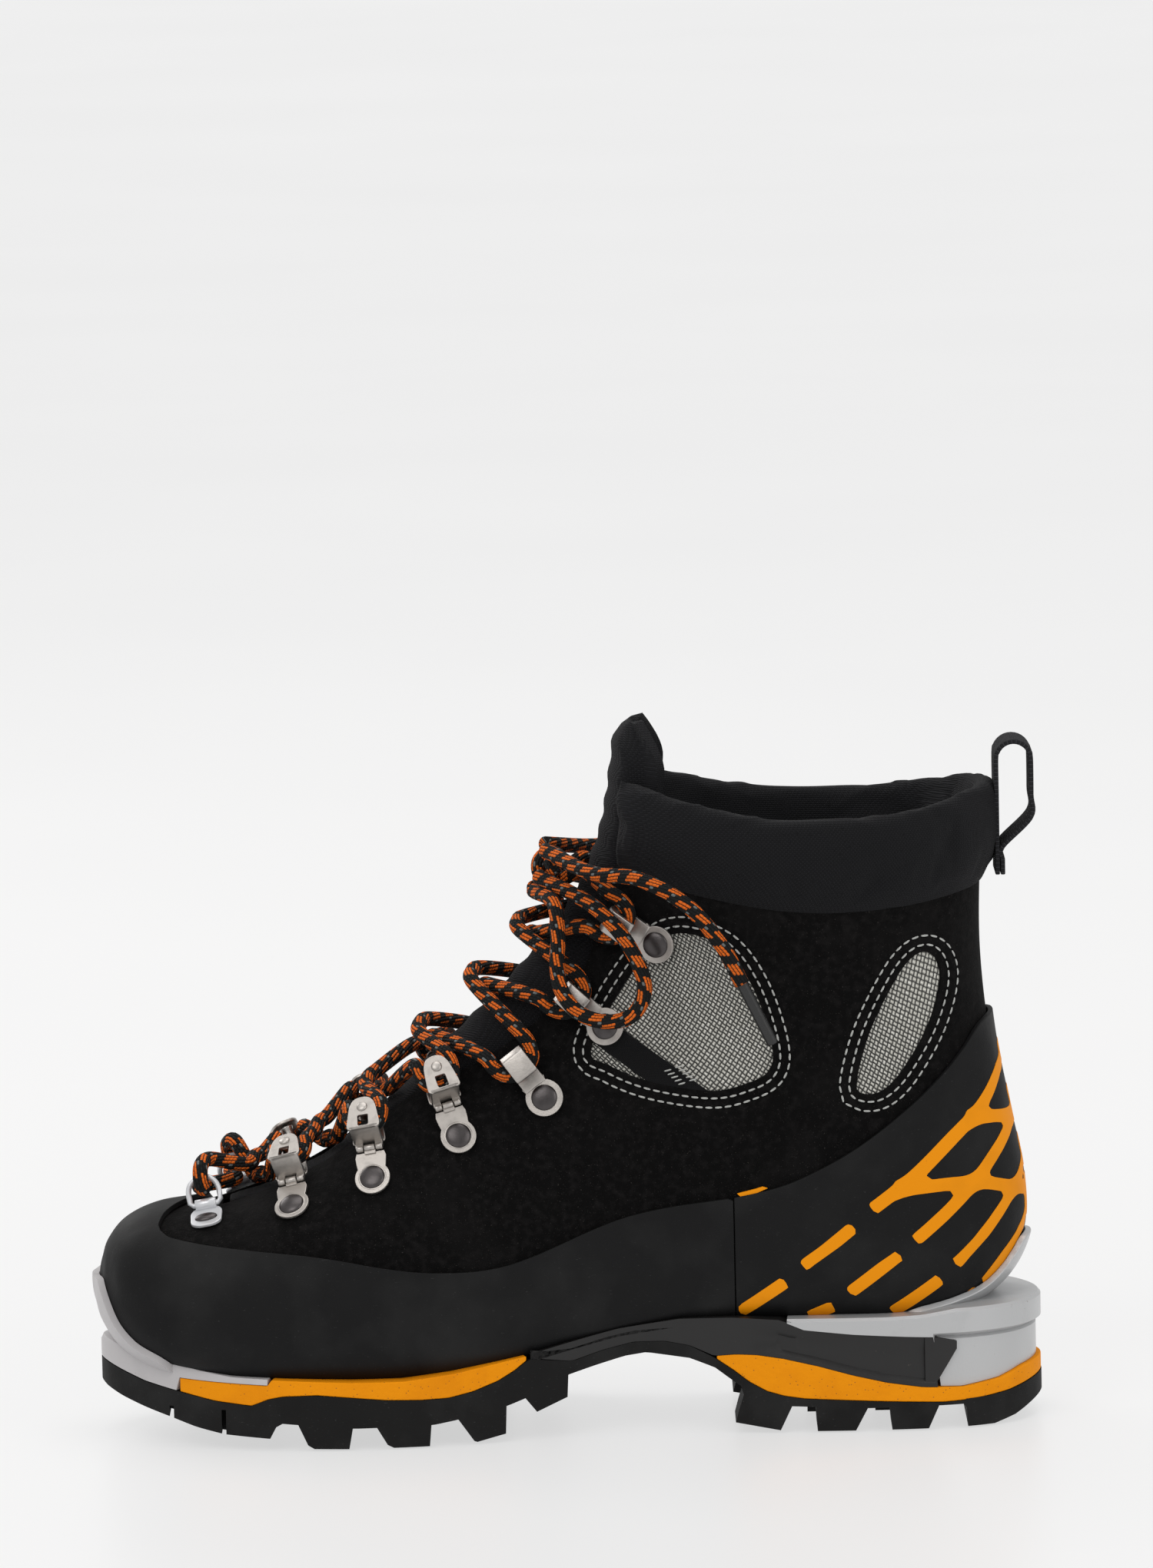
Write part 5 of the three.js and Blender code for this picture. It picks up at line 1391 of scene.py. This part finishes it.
def build_pulley(i, side_name, base, yoke):
    leaf = arc(5.6, -218, 38) + [(4.7, 5.2), (4.9, 7.6), (4.4, 9.1), (-4.4, 9.1), (-4.9, 7.6), (-4.7, 5.2)]
    parts = [plate("base", leaf, 0, 1, base)]
    for radius, z in ((5.0, 0.75), (4.7, 0.95)):
        step = [(radius, z - 0.5), (radius, z), (radius - 0.35, z + 0.18), (radius - 0.9, z)]
        parts.append(lathe(step, base, 30))
    parts.append(rod(1.15, -1.7, 1.7, HINGE_Y, HINGE_Z, base))
    parts.append(plate("web", slab(-1.7, 1.7, 8.6, HINGE_Y, 0.3), 0.4, 1.6, base))
    end = f"{i}_{side_name}"
    joined(f"pulley_plate_{end}", parts, "pewter", "boot", [f"pulley_base_{end}"], "pewter_steel")
    rivet = dome(4.1, 1.25, base @ Matrix.Translation((0, 0, 0.9)))
    joined(f"pulley_rivet_{end}", [rivet], "gunmetal", "boot", slot="dark_steel")

    start = HINGE_Y + 1.7
    face = [(-5.2, start), (5.2, start), (5.2, start + 2), (4.1, AXLE_Y + 0.6), (2.9, YOKE_TOP - 0.9),
            (1.2, YOKE_TOP), (-1.2, YOKE_TOP), (-2.9, YOKE_TOP - 0.9), (-4.1, AXLE_Y + 0.6),
            (-5.2, start + 2)]
    face = rounded(face, 1.4, 4)
    window = slab(-1.9, 1.9, start + 0.9, AXLE_Y - 3, 0.7)
    parts = [plate("outer", face, HIGH, HIGH + 1, yoke, [window])]
    parts.append(plate("inner", face, LOW, LOW + INNER_PLATE, yoke))
    parts.append(plate("back", slab(-4.6, 4.6, start, start + 0.8, 0.2), LOW, HIGH + 1, yoke))
    for x in (-3.2, 3.2):
        parts.append(rod(1.1, x - 1.1, x + 1.1, HINGE_Y, HINGE_Z, yoke))
        ear = slab(x - 1.1, x + 1.1, HINGE_Y, HINGE_Y + 2.2, 0.2)
        parts.append(plate("ear", ear, LOW, HINGE_Z + 0.9, yoke))
    axle = yoke @ Matrix.Translation((0, AXLE_Y, 0))
    parts.append(lathe([(0.85, LOW), (0.85, HIGH + 1.2)], axle, 14))
    cap = [(1.75, HIGH + 0.9), (1.75, HIGH + 1.2), (1.3, HIGH + 1.55), (0.4, HIGH + 1.6)]
    parts.append(lathe(cap, axle, 20))
    joined(f"pulley_housing_{end}", parts, "pewter", f"yoke_{end}", [f"pulley_yoke_{end}"], "pewter_steel")

    low, high = LOW + INNER_PLATE + 0.4, LOW + INNER_PLATE + CHANNEL - 0.4
    rim, waist = ROLLER_RADIUS, ROLLER_RADIUS - 0.35
    profile = [(1.2, low), (rim, low), (rim, low + 0.7), (waist, low + 1.6), (waist, high - 1.6),
               (rim, high - 0.7), (rim, high), (1.2, high)]
    wheel = lathe(profile, axle, 20)
    joined(f"pulley_wheel_{end}", [wheel], "roller", f"roller_{end}", [f"pulley_roller_{end}"], "dark_steel")


HOOK_TOP = 16.4
HOOK_LIP = 8.9
HOOK_HALF = 4.0


def build_hook(name, matrix, nodes, rivet_nodes):
    strip_line = [(4.5, 0), (HOOK_TOP - 0.8, 0), (HOOK_TOP + 1, 1.8), (HOOK_TOP + 1, HOOK_LIP - 2.4),
                  (HOOK_TOP - 0.8, HOOK_LIP), (8.4, HOOK_LIP), (7.6, HOOK_LIP - 1),
                  (HOOK_TOP - 1.4, HOOK_LIP - 1), (HOOK_TOP, HOOK_LIP - 2.6), (HOOK_TOP, 2.2),
                  (HOOK_TOP - 1.2, 1), (4.5, 1)]
    turn = Matrix(((0, 0, 1, 0), (1, 0, 0, 0), (0, 1, 0, 0), (0, 0, 0, 1)))
    bent = plate("bent", rounded(strip_line, 0.5), -HOOK_HALF, HOOK_HALF, matrix @ turn, round_=0.3)
    leaf = arc(5.9, -230, 50) + [(4.1, 6), (-4.1, 6)]
    parts = [bent, plate("ring", leaf, 0, 1, matrix)]
    slots = []
    for y in (10.4, 12.8):
        bar = slab(-2.6, 2.6, y, y + 0.8, 0.3)
        slots.append(plate("slot", bar, HOOK_LIP - 0.2, HOOK_LIP + 0.25, matrix, round_=0.1))
    joined(f"{name}_plate", parts + slots, "pewter", "boot", nodes, "pewter_steel")
    rivet = dome(4.2, 1.2, matrix @ Matrix.Translation((0, 0, 0.9)))
    joined(f"{name}_rivet", [rivet], "gunmetal", "boot", rivet_nodes, "dark_steel")


RING_ANGLE = math.radians(55)
RING_LENGTH = 9.0
RING_HALF = 5
RING_WIRE = 1.8
CURL_Y = 6.6
CURL_Z = 1.9


def build_toe_eyelet(side_name, matrix):
    leaf = rounded([(-4.8, -3.6), (-2.5, -5.4), (2.5, -5.4), (4.8, -3.6), (5, 3.5), (3.6, CURL_Y - 0.6),
                    (-3.6, CURL_Y - 0.6), (-5, 3.5)], 1.2)
    parts = [plate("leaf", leaf, 0, 1, matrix)]
    parts.append(rod(1.85, -3.4, 3.4, CURL_Y, CURL_Z, matrix, 24))
    joined(f"toe_leaf_{side_name}", parts, "white", "boot", [f"toe_eyelet_{side_name}"], "white_metal")
    rivet = dome(3.2, 1.0, matrix @ Matrix.Translation((0, -0.8, 0.9)) @ Matrix.Diagonal((1.15, 0.72, 1, 1)))
    joined(f"toe_rivet_{side_name}", [rivet], "gunmetal", "boot", slot="dark_steel")
    half = RING_HALF
    points = []
    for k in range(17):
        a = math.pi * k / 16
        points.append((half * math.cos(a), RING_LENGTH - half + half * math.sin(a)))
    points += [(-half, 1.0), (-half + 1, 0), (0, 0), (half - 1, 0), (half, 1.0)]
    rise_y, rise_z = math.cos(RING_ANGLE), math.sin(RING_ANGLE)
    path = [np.array(matrix @ Vector((x, CURL_Y + o * rise_y, CURL_Z + o * rise_z))) for x, o in points]
    vertices, faces, uvs = tube_mesh(path, RING_WIRE / 2, 12, closed=True)
    wire = make(f"toe_wire_{side_name}", vertices, faces, "white", f"ring_{side_name}",
                [f"toe_ring_{side_name}"], "white_metal", uv=uvs)
    outward(wire)


# ---------------------------------------------------------------- lace
def tube_mesh(points, radius, segments=16, closed=False):
    """A round tube through points, with millimetres along it and turns round it as UVs."""
    points = [np.array(p, float) for p in points]
    count = len(points)
    vertices, uvs = [], []
    side = None
    run = 0.0
    for i in range(count):
        before = points[(i - 1) % count] if closed else points[max(i - 1, 0)]
        after = points[(i + 1) % count] if closed else points[min(i + 1, count - 1)]
        along = unit(after - before)
        if side is None:
            side = np.cross([0.1, 1, 0.3], along)
        side = unit(side - along * np.dot(side, along))
        up = np.cross(along, side)
        if i:
            run += np.linalg.norm(points[i] - points[i - 1])
        for k in range(segments):
            a = 2 * math.pi * k / segments
            vertices.append(points[i] + radius * (side * math.cos(a) + up * math.sin(a)))
            uvs.append((run, k / segments))
    return vertices, tube_faces(count, segments, closed), uvs


def smooth_path(points, step=1.2):
    """A rounded path through 3D points, evenly stepped (centripetal spline)."""
    points = [np.array(p, float) for p in points]
    ends = [2 * points[0] - points[1], *points, 2 * points[-1] - points[-2]]
    dense = []
    for p0, p1, p2, p3 in zip(ends, ends[1:], ends[2:], ends[3:]):
        t0 = 0.0
        t1 = t0 + max(np.linalg.norm(p1 - p0), 1e-6) ** 0.5
        t2 = t1 + max(np.linalg.norm(p2 - p1), 1e-6) ** 0.5
        t3 = t2 + max(np.linalg.norm(p3 - p2), 1e-6) ** 0.5
        for t in np.linspace(t1, t2, 24, endpoint=False):
            a1 = (t1 - t) / (t1 - t0) * p0 + (t - t0) / (t1 - t0) * p1
            a2 = (t2 - t) / (t2 - t1) * p1 + (t - t1) / (t2 - t1) * p2
            a3 = (t3 - t) / (t3 - t2) * p2 + (t - t2) / (t3 - t2) * p3
            b1 = (t2 - t) / (t2 - t0) * a1 + (t - t0) / (t2 - t0) * a2
            b2 = (t3 - t) / (t3 - t1) * a2 + (t - t1) / (t3 - t1) * a3
            dense.append((t2 - t) / (t2 - t1) * b1 + (t - t1) / (t2 - t1) * b2)
    dense.append(points[-1])
    dense = np.array(dense)
    run = run_along(dense)
    wanted = np.linspace(0, run[-1], max(2, int(run[-1] / step)))
    return [np.array([np.interp(w, run, dense[:, k]) for k in range(3)]) for w in wanted]


MID = LOW + INNER_PLATE + CHANNEL / 2
TURNS = {
    "ring": [(-2, 17.5, 3.2), (-1, 14.2, 3.9), (-0.5, 11.6, 5.2), (0, 9.4, 6.2), (0, 7.7, 9.3),
             (0.5, 9.4, 12.6), (1, 11.8, 13.4), (3, 17, 12.4)],
    "pulley": [(WRAP_RADIUS * math.sin(a), AXLE_Y - WRAP_RADIUS * math.cos(a), MID)
               for a in (-math.pi / 2, -math.pi / 4, 0, math.pi / 4, math.pi / 2)],
    "hook": [(x, y, 4.45) for x, y in ((-6.9, 17), (-5, 12.4), (-2, 11), (2, 11), (5, 12.4), (6.9, 17))],
}
ARMS = {"ring": None, "pulley": (WRAP_RADIUS, AXLE_Y + 4.5, MID), "hook": (6.9, 21, 4.8)}
CROSSINGS = [4.95, 6.05, 7.2, 8.75, 10.7, 12.8]
LOW_RISE = LACE_RADIUS + 1.2
HIGH_RISE = LOW_RISE + 2 * LACE_RADIUS + 0.8
KNOT_STATION = 15.1
KNOT_RISE = 10.0


def turn_points(kind, matrix, side):
    points = list(TURNS[kind])
    arm = ARMS[kind]
    if arm:
        points = [(-arm[0], arm[1], arm[2]), *points, arm]
    sign = 1 if side == MEDIAL else -1
    return [np.array(matrix @ Vector((sign * x, y, z))) for x, y, z in points]


def ridge_at(s):
    """Direction of the ridge at station s."""
    return unit(ring_at(s + 0.1)[0] - ring_at(s - 0.1)[0])


def over_tongue(s, rise, y=0.0):
    """A place over the ridge at station s, rise mm out of it and y mm to the lateral side."""
    along = ridge_at(s)
    return ring_at(s)[0] + np.array([-along[2], 0, along[0]]) * rise + np.array([0, y, 0])


def by_knot(up, out, away, side):
    """A place near the knot: up the shin, out to a side and away from the tongue."""
    return over_tongue(KNOT_STATION, KNOT_RISE + away, side * out) + ridge_at(KNOT_STATION) * up


def on_lacing(route, side):
    points = []
    for s, share, rise in route:
        p, _, normal = surface_frame(s, share, side)
        points.append(p + normal * rise)
    return points


LOOP_ROUTE = [(15.3, 0.86, 13), (14.9, 0.8, 14), (14.1, 0.765, 15), (13.3, 0.765, 16), (12.6, 0.785, 16),
              (12.2, 0.82, 16), (12.3, 0.86, 16), (12.9, 0.89, 16), (13.7, 0.905, 15.5), (14.4, 0.93, 14)]
TAIL_ROUTE = [(16.3, 0.87, 14), (17, 0.78, 15), (17, 0.69, 16), (16.5, 0.63, 16), (15.9, 0.6, 15.5)]
AGLET_LENGTH = 22.0
AGLET_RADIUS = 1.9


# Side-view places of the rivets.
TOE_SPOTS = {MEDIAL: (-116.5, 70.6), LATERAL: (-106.5, 72.6)}
PULLEY_SPOTS = [(-88.5, 75.6), (-62.5, 84.5), (-35, 97)]
HOOK_SPOTS = [(-7, 108.5), (13, 131), (30, 158)]
YOKE_TILT = math.radians(-9)


def build_lacing():
    stops = {MEDIAL: [], LATERAL: []}
    for side_name, side in SIDES.items():
        matrix = place(*locate(*TOE_SPOTS[side], side), side, 0.6)
        build_toe_eyelet(side_name, matrix)
        stops[side].append(("ring", matrix))
        for i, spot in enumerate(PULLEY_SPOTS, 1):
            base = place(*locate(*spot, side), side, 0.7)
            hinge = Matrix.Translation((0, HINGE_Y, HINGE_Z))
            yoke = base @ hinge @ Matrix.Rotation(YOKE_TILT, 4, "X") @ hinge.inverted()
            build_pulley(i, side_name, base, yoke)
            stops[side].append(("pulley", yoke))
        for i, spot in enumerate(HOOK_SPOTS):
            matrix = place(*locate(*spot, side), side, 0.6 if i else 0.8)
            name = f"cuff_hook_{i}_{side_name}" if i else f"lock_hook_{side_name}"
            rivets = [] if i else [f"lock_hook_rivet_{side_name}"]
            build_hook(f"{name}_steel", matrix, [name], rivets)
            stops[side].append(("hook", matrix))
    return stops


def strand(stops, start, over):
    points = []
    side = start
    for i in range(len(stops[MEDIAL])):
        points += turn_points(*stops[side][i], side)
        if i < len(CROSSINGS):
            rise = HIGH_RISE if over == (i % 2 == 0) else LOW_RISE
            for t in (-1, 0, 1):
                points.append(over_tongue(CROSSINGS[i] + 0.12 * t, rise - (0.8 if t else 0), -side * 5.2 * t))
            side = -side
    points += [by_knot(5, 14, -8.5, side), by_knot(0, 9.4, -5, side)]
    return points


def lace_piece(name, path, nodes=()):
    vertices, faces, uvs = tube_mesh(path, LACE_TUBE)
    return make(name, vertices, faces, "lace", nodes=nodes, slot="lace", uv=uvs)


def build_lace():
    stops = build_lacing()
    middle = over_tongue(4.52, LACE_RADIUS + 2.6)
    route = [*strand(stops, MEDIAL, True)[::-1], middle, *strand(stops, LATERAL, False)]
    lace_piece("lace_run", smooth_path(route, 1.0), ["lace"])

    turns = []
    for k in range(41):
        a = -0.6 * math.pi + k / 40 * 3.1 * math.pi
        out = -3.0 + 6.0 * k / 40
        turns.append(by_knot(4.2 * math.sin(a), out, 4.6 * math.cos(a) - 0.4, LATERAL))
    lace_piece("knot_wrap", turns, ["lace_knot"])
    core = [(-1, -9, -2.5), (2, -5, 1), (1.5, 0, 0), (-2, 5, 1), (-1, 9, -2.5)]
    lace_piece("knot_core", smooth_path([by_knot(*place_, LATERAL) for place_ in core]))

    for side_name, side in SIDES.items():
        route = [by_knot(-3.5, 8.6, 3, side), *on_lacing(LOOP_ROUTE, side), by_knot(-9, 3.4, 2, side)]
        loop = smooth_path(route, 1.5)
        tail = smooth_path([by_knot(5, 7.6, 4.6, side), *on_lacing(TAIL_ROUTE, side)], 1.5)
        heading = unit(tail[-1] - tail[-2])
        tip = [tail[-1] + heading * d for d in (-1.5, 0.4, AGLET_LENGTH - 1, AGLET_LENGTH)]
        vertices, faces, uvs = tube_mesh(tip, AGLET_RADIUS)
        aglet = make(f"lace_tip_{side_name}", vertices, faces, "aglet", nodes=[f"aglet_{side_name}"],
                     slot="aglet", uv=uvs)
        for name, path, node in (("loop", loop, "bow_loop"), ("end", tail, "lace_tail")):
            piece = lace_piece(f"lace_{name}_{side_name}", path, [f"{node}_{side_name}"])


# ---------------------------------------------------------------- heel loop
LOOP_RISE = 30  # above its seam
LOOP_REACH = 13  # out from the shaft
LOOP_HALF = 10  # half its width
WEBBING = 1.8


def build_pull_loop():
    bottom = ring_at(19.4)[1]
    x0, z0 = bottom[0] + 3.8, bottom[2]
    near, bend = WEBBING / 2, LOOP_REACH / 2
    path = [(near, -14), (near, -6), (near, 0), (near, 12)]
    for k in range(9):
        a = math.pi * (1 - k / 8)
        path.append((bend + (bend - near) * math.cos(a), LOOP_RISE - bend + (bend - near) * math.sin(a)))
    path += [(LOOP_REACH - near, 12), (LOOP_REACH - 1.1, 4.5), (2.6, -5), (2.6, -9), (2.6, -14)]
    path = smooth_line(path, 1.0)
    columns = np.linspace(-1, 1, 9)
    vertices, uvs = [], []
    for run, p in zip(run_along(path), path):
        for t in columns:
            vertices.append((x0 + p[0], t * LOOP_HALF, z0 + p[1]))
            uvs.append((run, t * LOOP_HALF))
    faces = grid_faces(len(path), len(columns))
    loop = make("pull_loop_webbing", vertices, faces, "webbing", body="pull_loop", nodes=["pull_loop"],
                slot="webbing", uv=uvs)
    shell(loop, WEBBING - 0.3, 0)
    bevel(loop, 0.35, 2, 50)


# ---------------------------------------------------------------- stage, light and camera
FLOOR_GLOW = 0.61
SKY = 0.63
LAMPS = {  # place in metres, size in metres, watts
    "key": ((-0.9, -1.5, 1.7), 1.4, 15),
    "fill": ((1.6, -1.2, 1.0), 1.2, 8),
    "top": ((0.1, 0.4, 2.0), 1.6, 15),
    "rim": ((-1.2, 1.4, 1.1), 0.9, 9),
}


def build_stage():
    bpy.ops.mesh.primitive_plane_add(size=120, location=(0, 0, -0.0006))
    floor = bpy.context.object
    floor.name = "floor"
    m = Nodes("floor", (0.2, 0.2, 0.2), 0.36, Specular_IOR_Level=0.15)
    m.shader.inputs["Emission Color"].default_value = (1, 1, 1, 1)
    m.shader.inputs["Emission Strength"].default_value = FLOOR_GLOW
    m.rough(m.noise(3, 2), 0.33, 0.39)
    floor.data.materials.append(m.material)
    world = bpy.data.worlds.new("studio")
    world.use_nodes = True
    world.node_tree.nodes["Background"].inputs[0].default_value = (1, 1, 1, 1)
    world.node_tree.nodes["Background"].inputs[1].default_value = SKY
    bpy.context.scene.world = world
    for name, (place_, size, power) in LAMPS.items():
        light = bpy.data.lights.new(name, "AREA")
        light.size = size
        light.energy = power
        light.color = (1, 0.985, 0.97)
        lamp = bpy.data.objects.new(name, light)
        lamp.location = place_
        lamp.rotation_euler = (Vector((0, 0, 0.08)) - Vector(place_)).to_track_quat("-Z", "Y").to_euler()
        bpy.context.scene.collection.objects.link(lamp)


# The camera, in metres and radians.
VIEW_TARGET = (0.0052, 0, 0.2065)
VIEW_HEIGHT = 0.5062  # how much of the scene the picture is tall, at the target
VIEW_DISTANCE = 3.5
PITCH = math.radians(7.5)
ROLL = math.radians(-1.15)
SENSOR = 24


def build_camera():
    camera = bpy.data.cameras.new("camera")
    camera.sensor_fit = "VERTICAL"
    camera.sensor_height = SENSOR
    camera.lens = SENSOR / (VIEW_HEIGHT / VIEW_DISTANCE)
    camera.clip_end = 200
    rig = bpy.data.objects.new("camera", camera)
    target = Vector(VIEW_TARGET)
    rig.location = target + Vector((0, -math.cos(PITCH), math.sin(PITCH))) * VIEW_DISTANCE
    aim = (target - rig.location).to_track_quat("-Z", "Y").to_matrix().to_4x4()
    rig.matrix_world = Matrix.Translation(rig.location) @ aim @ Matrix.Rotation(ROLL, 4, "Z")
    bpy.context.scene.collection.objects.link(rig)
    bpy.context.scene.camera = rig
    bpy.context.scene.view_settings.view_transform = "Standard"


build_camera()
build_lace()
build_upper()
build_stitches()
build_print()
build_collar()
build_tongue()
build_inside()
build_sole()
build_pull_loop()
build_stage()

for hidden in ("shank_plate", "insole_board"):
    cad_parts[hidden].data.materials.clear()
    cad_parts[hidden].data.materials.append(MATERIALS["nylon"])
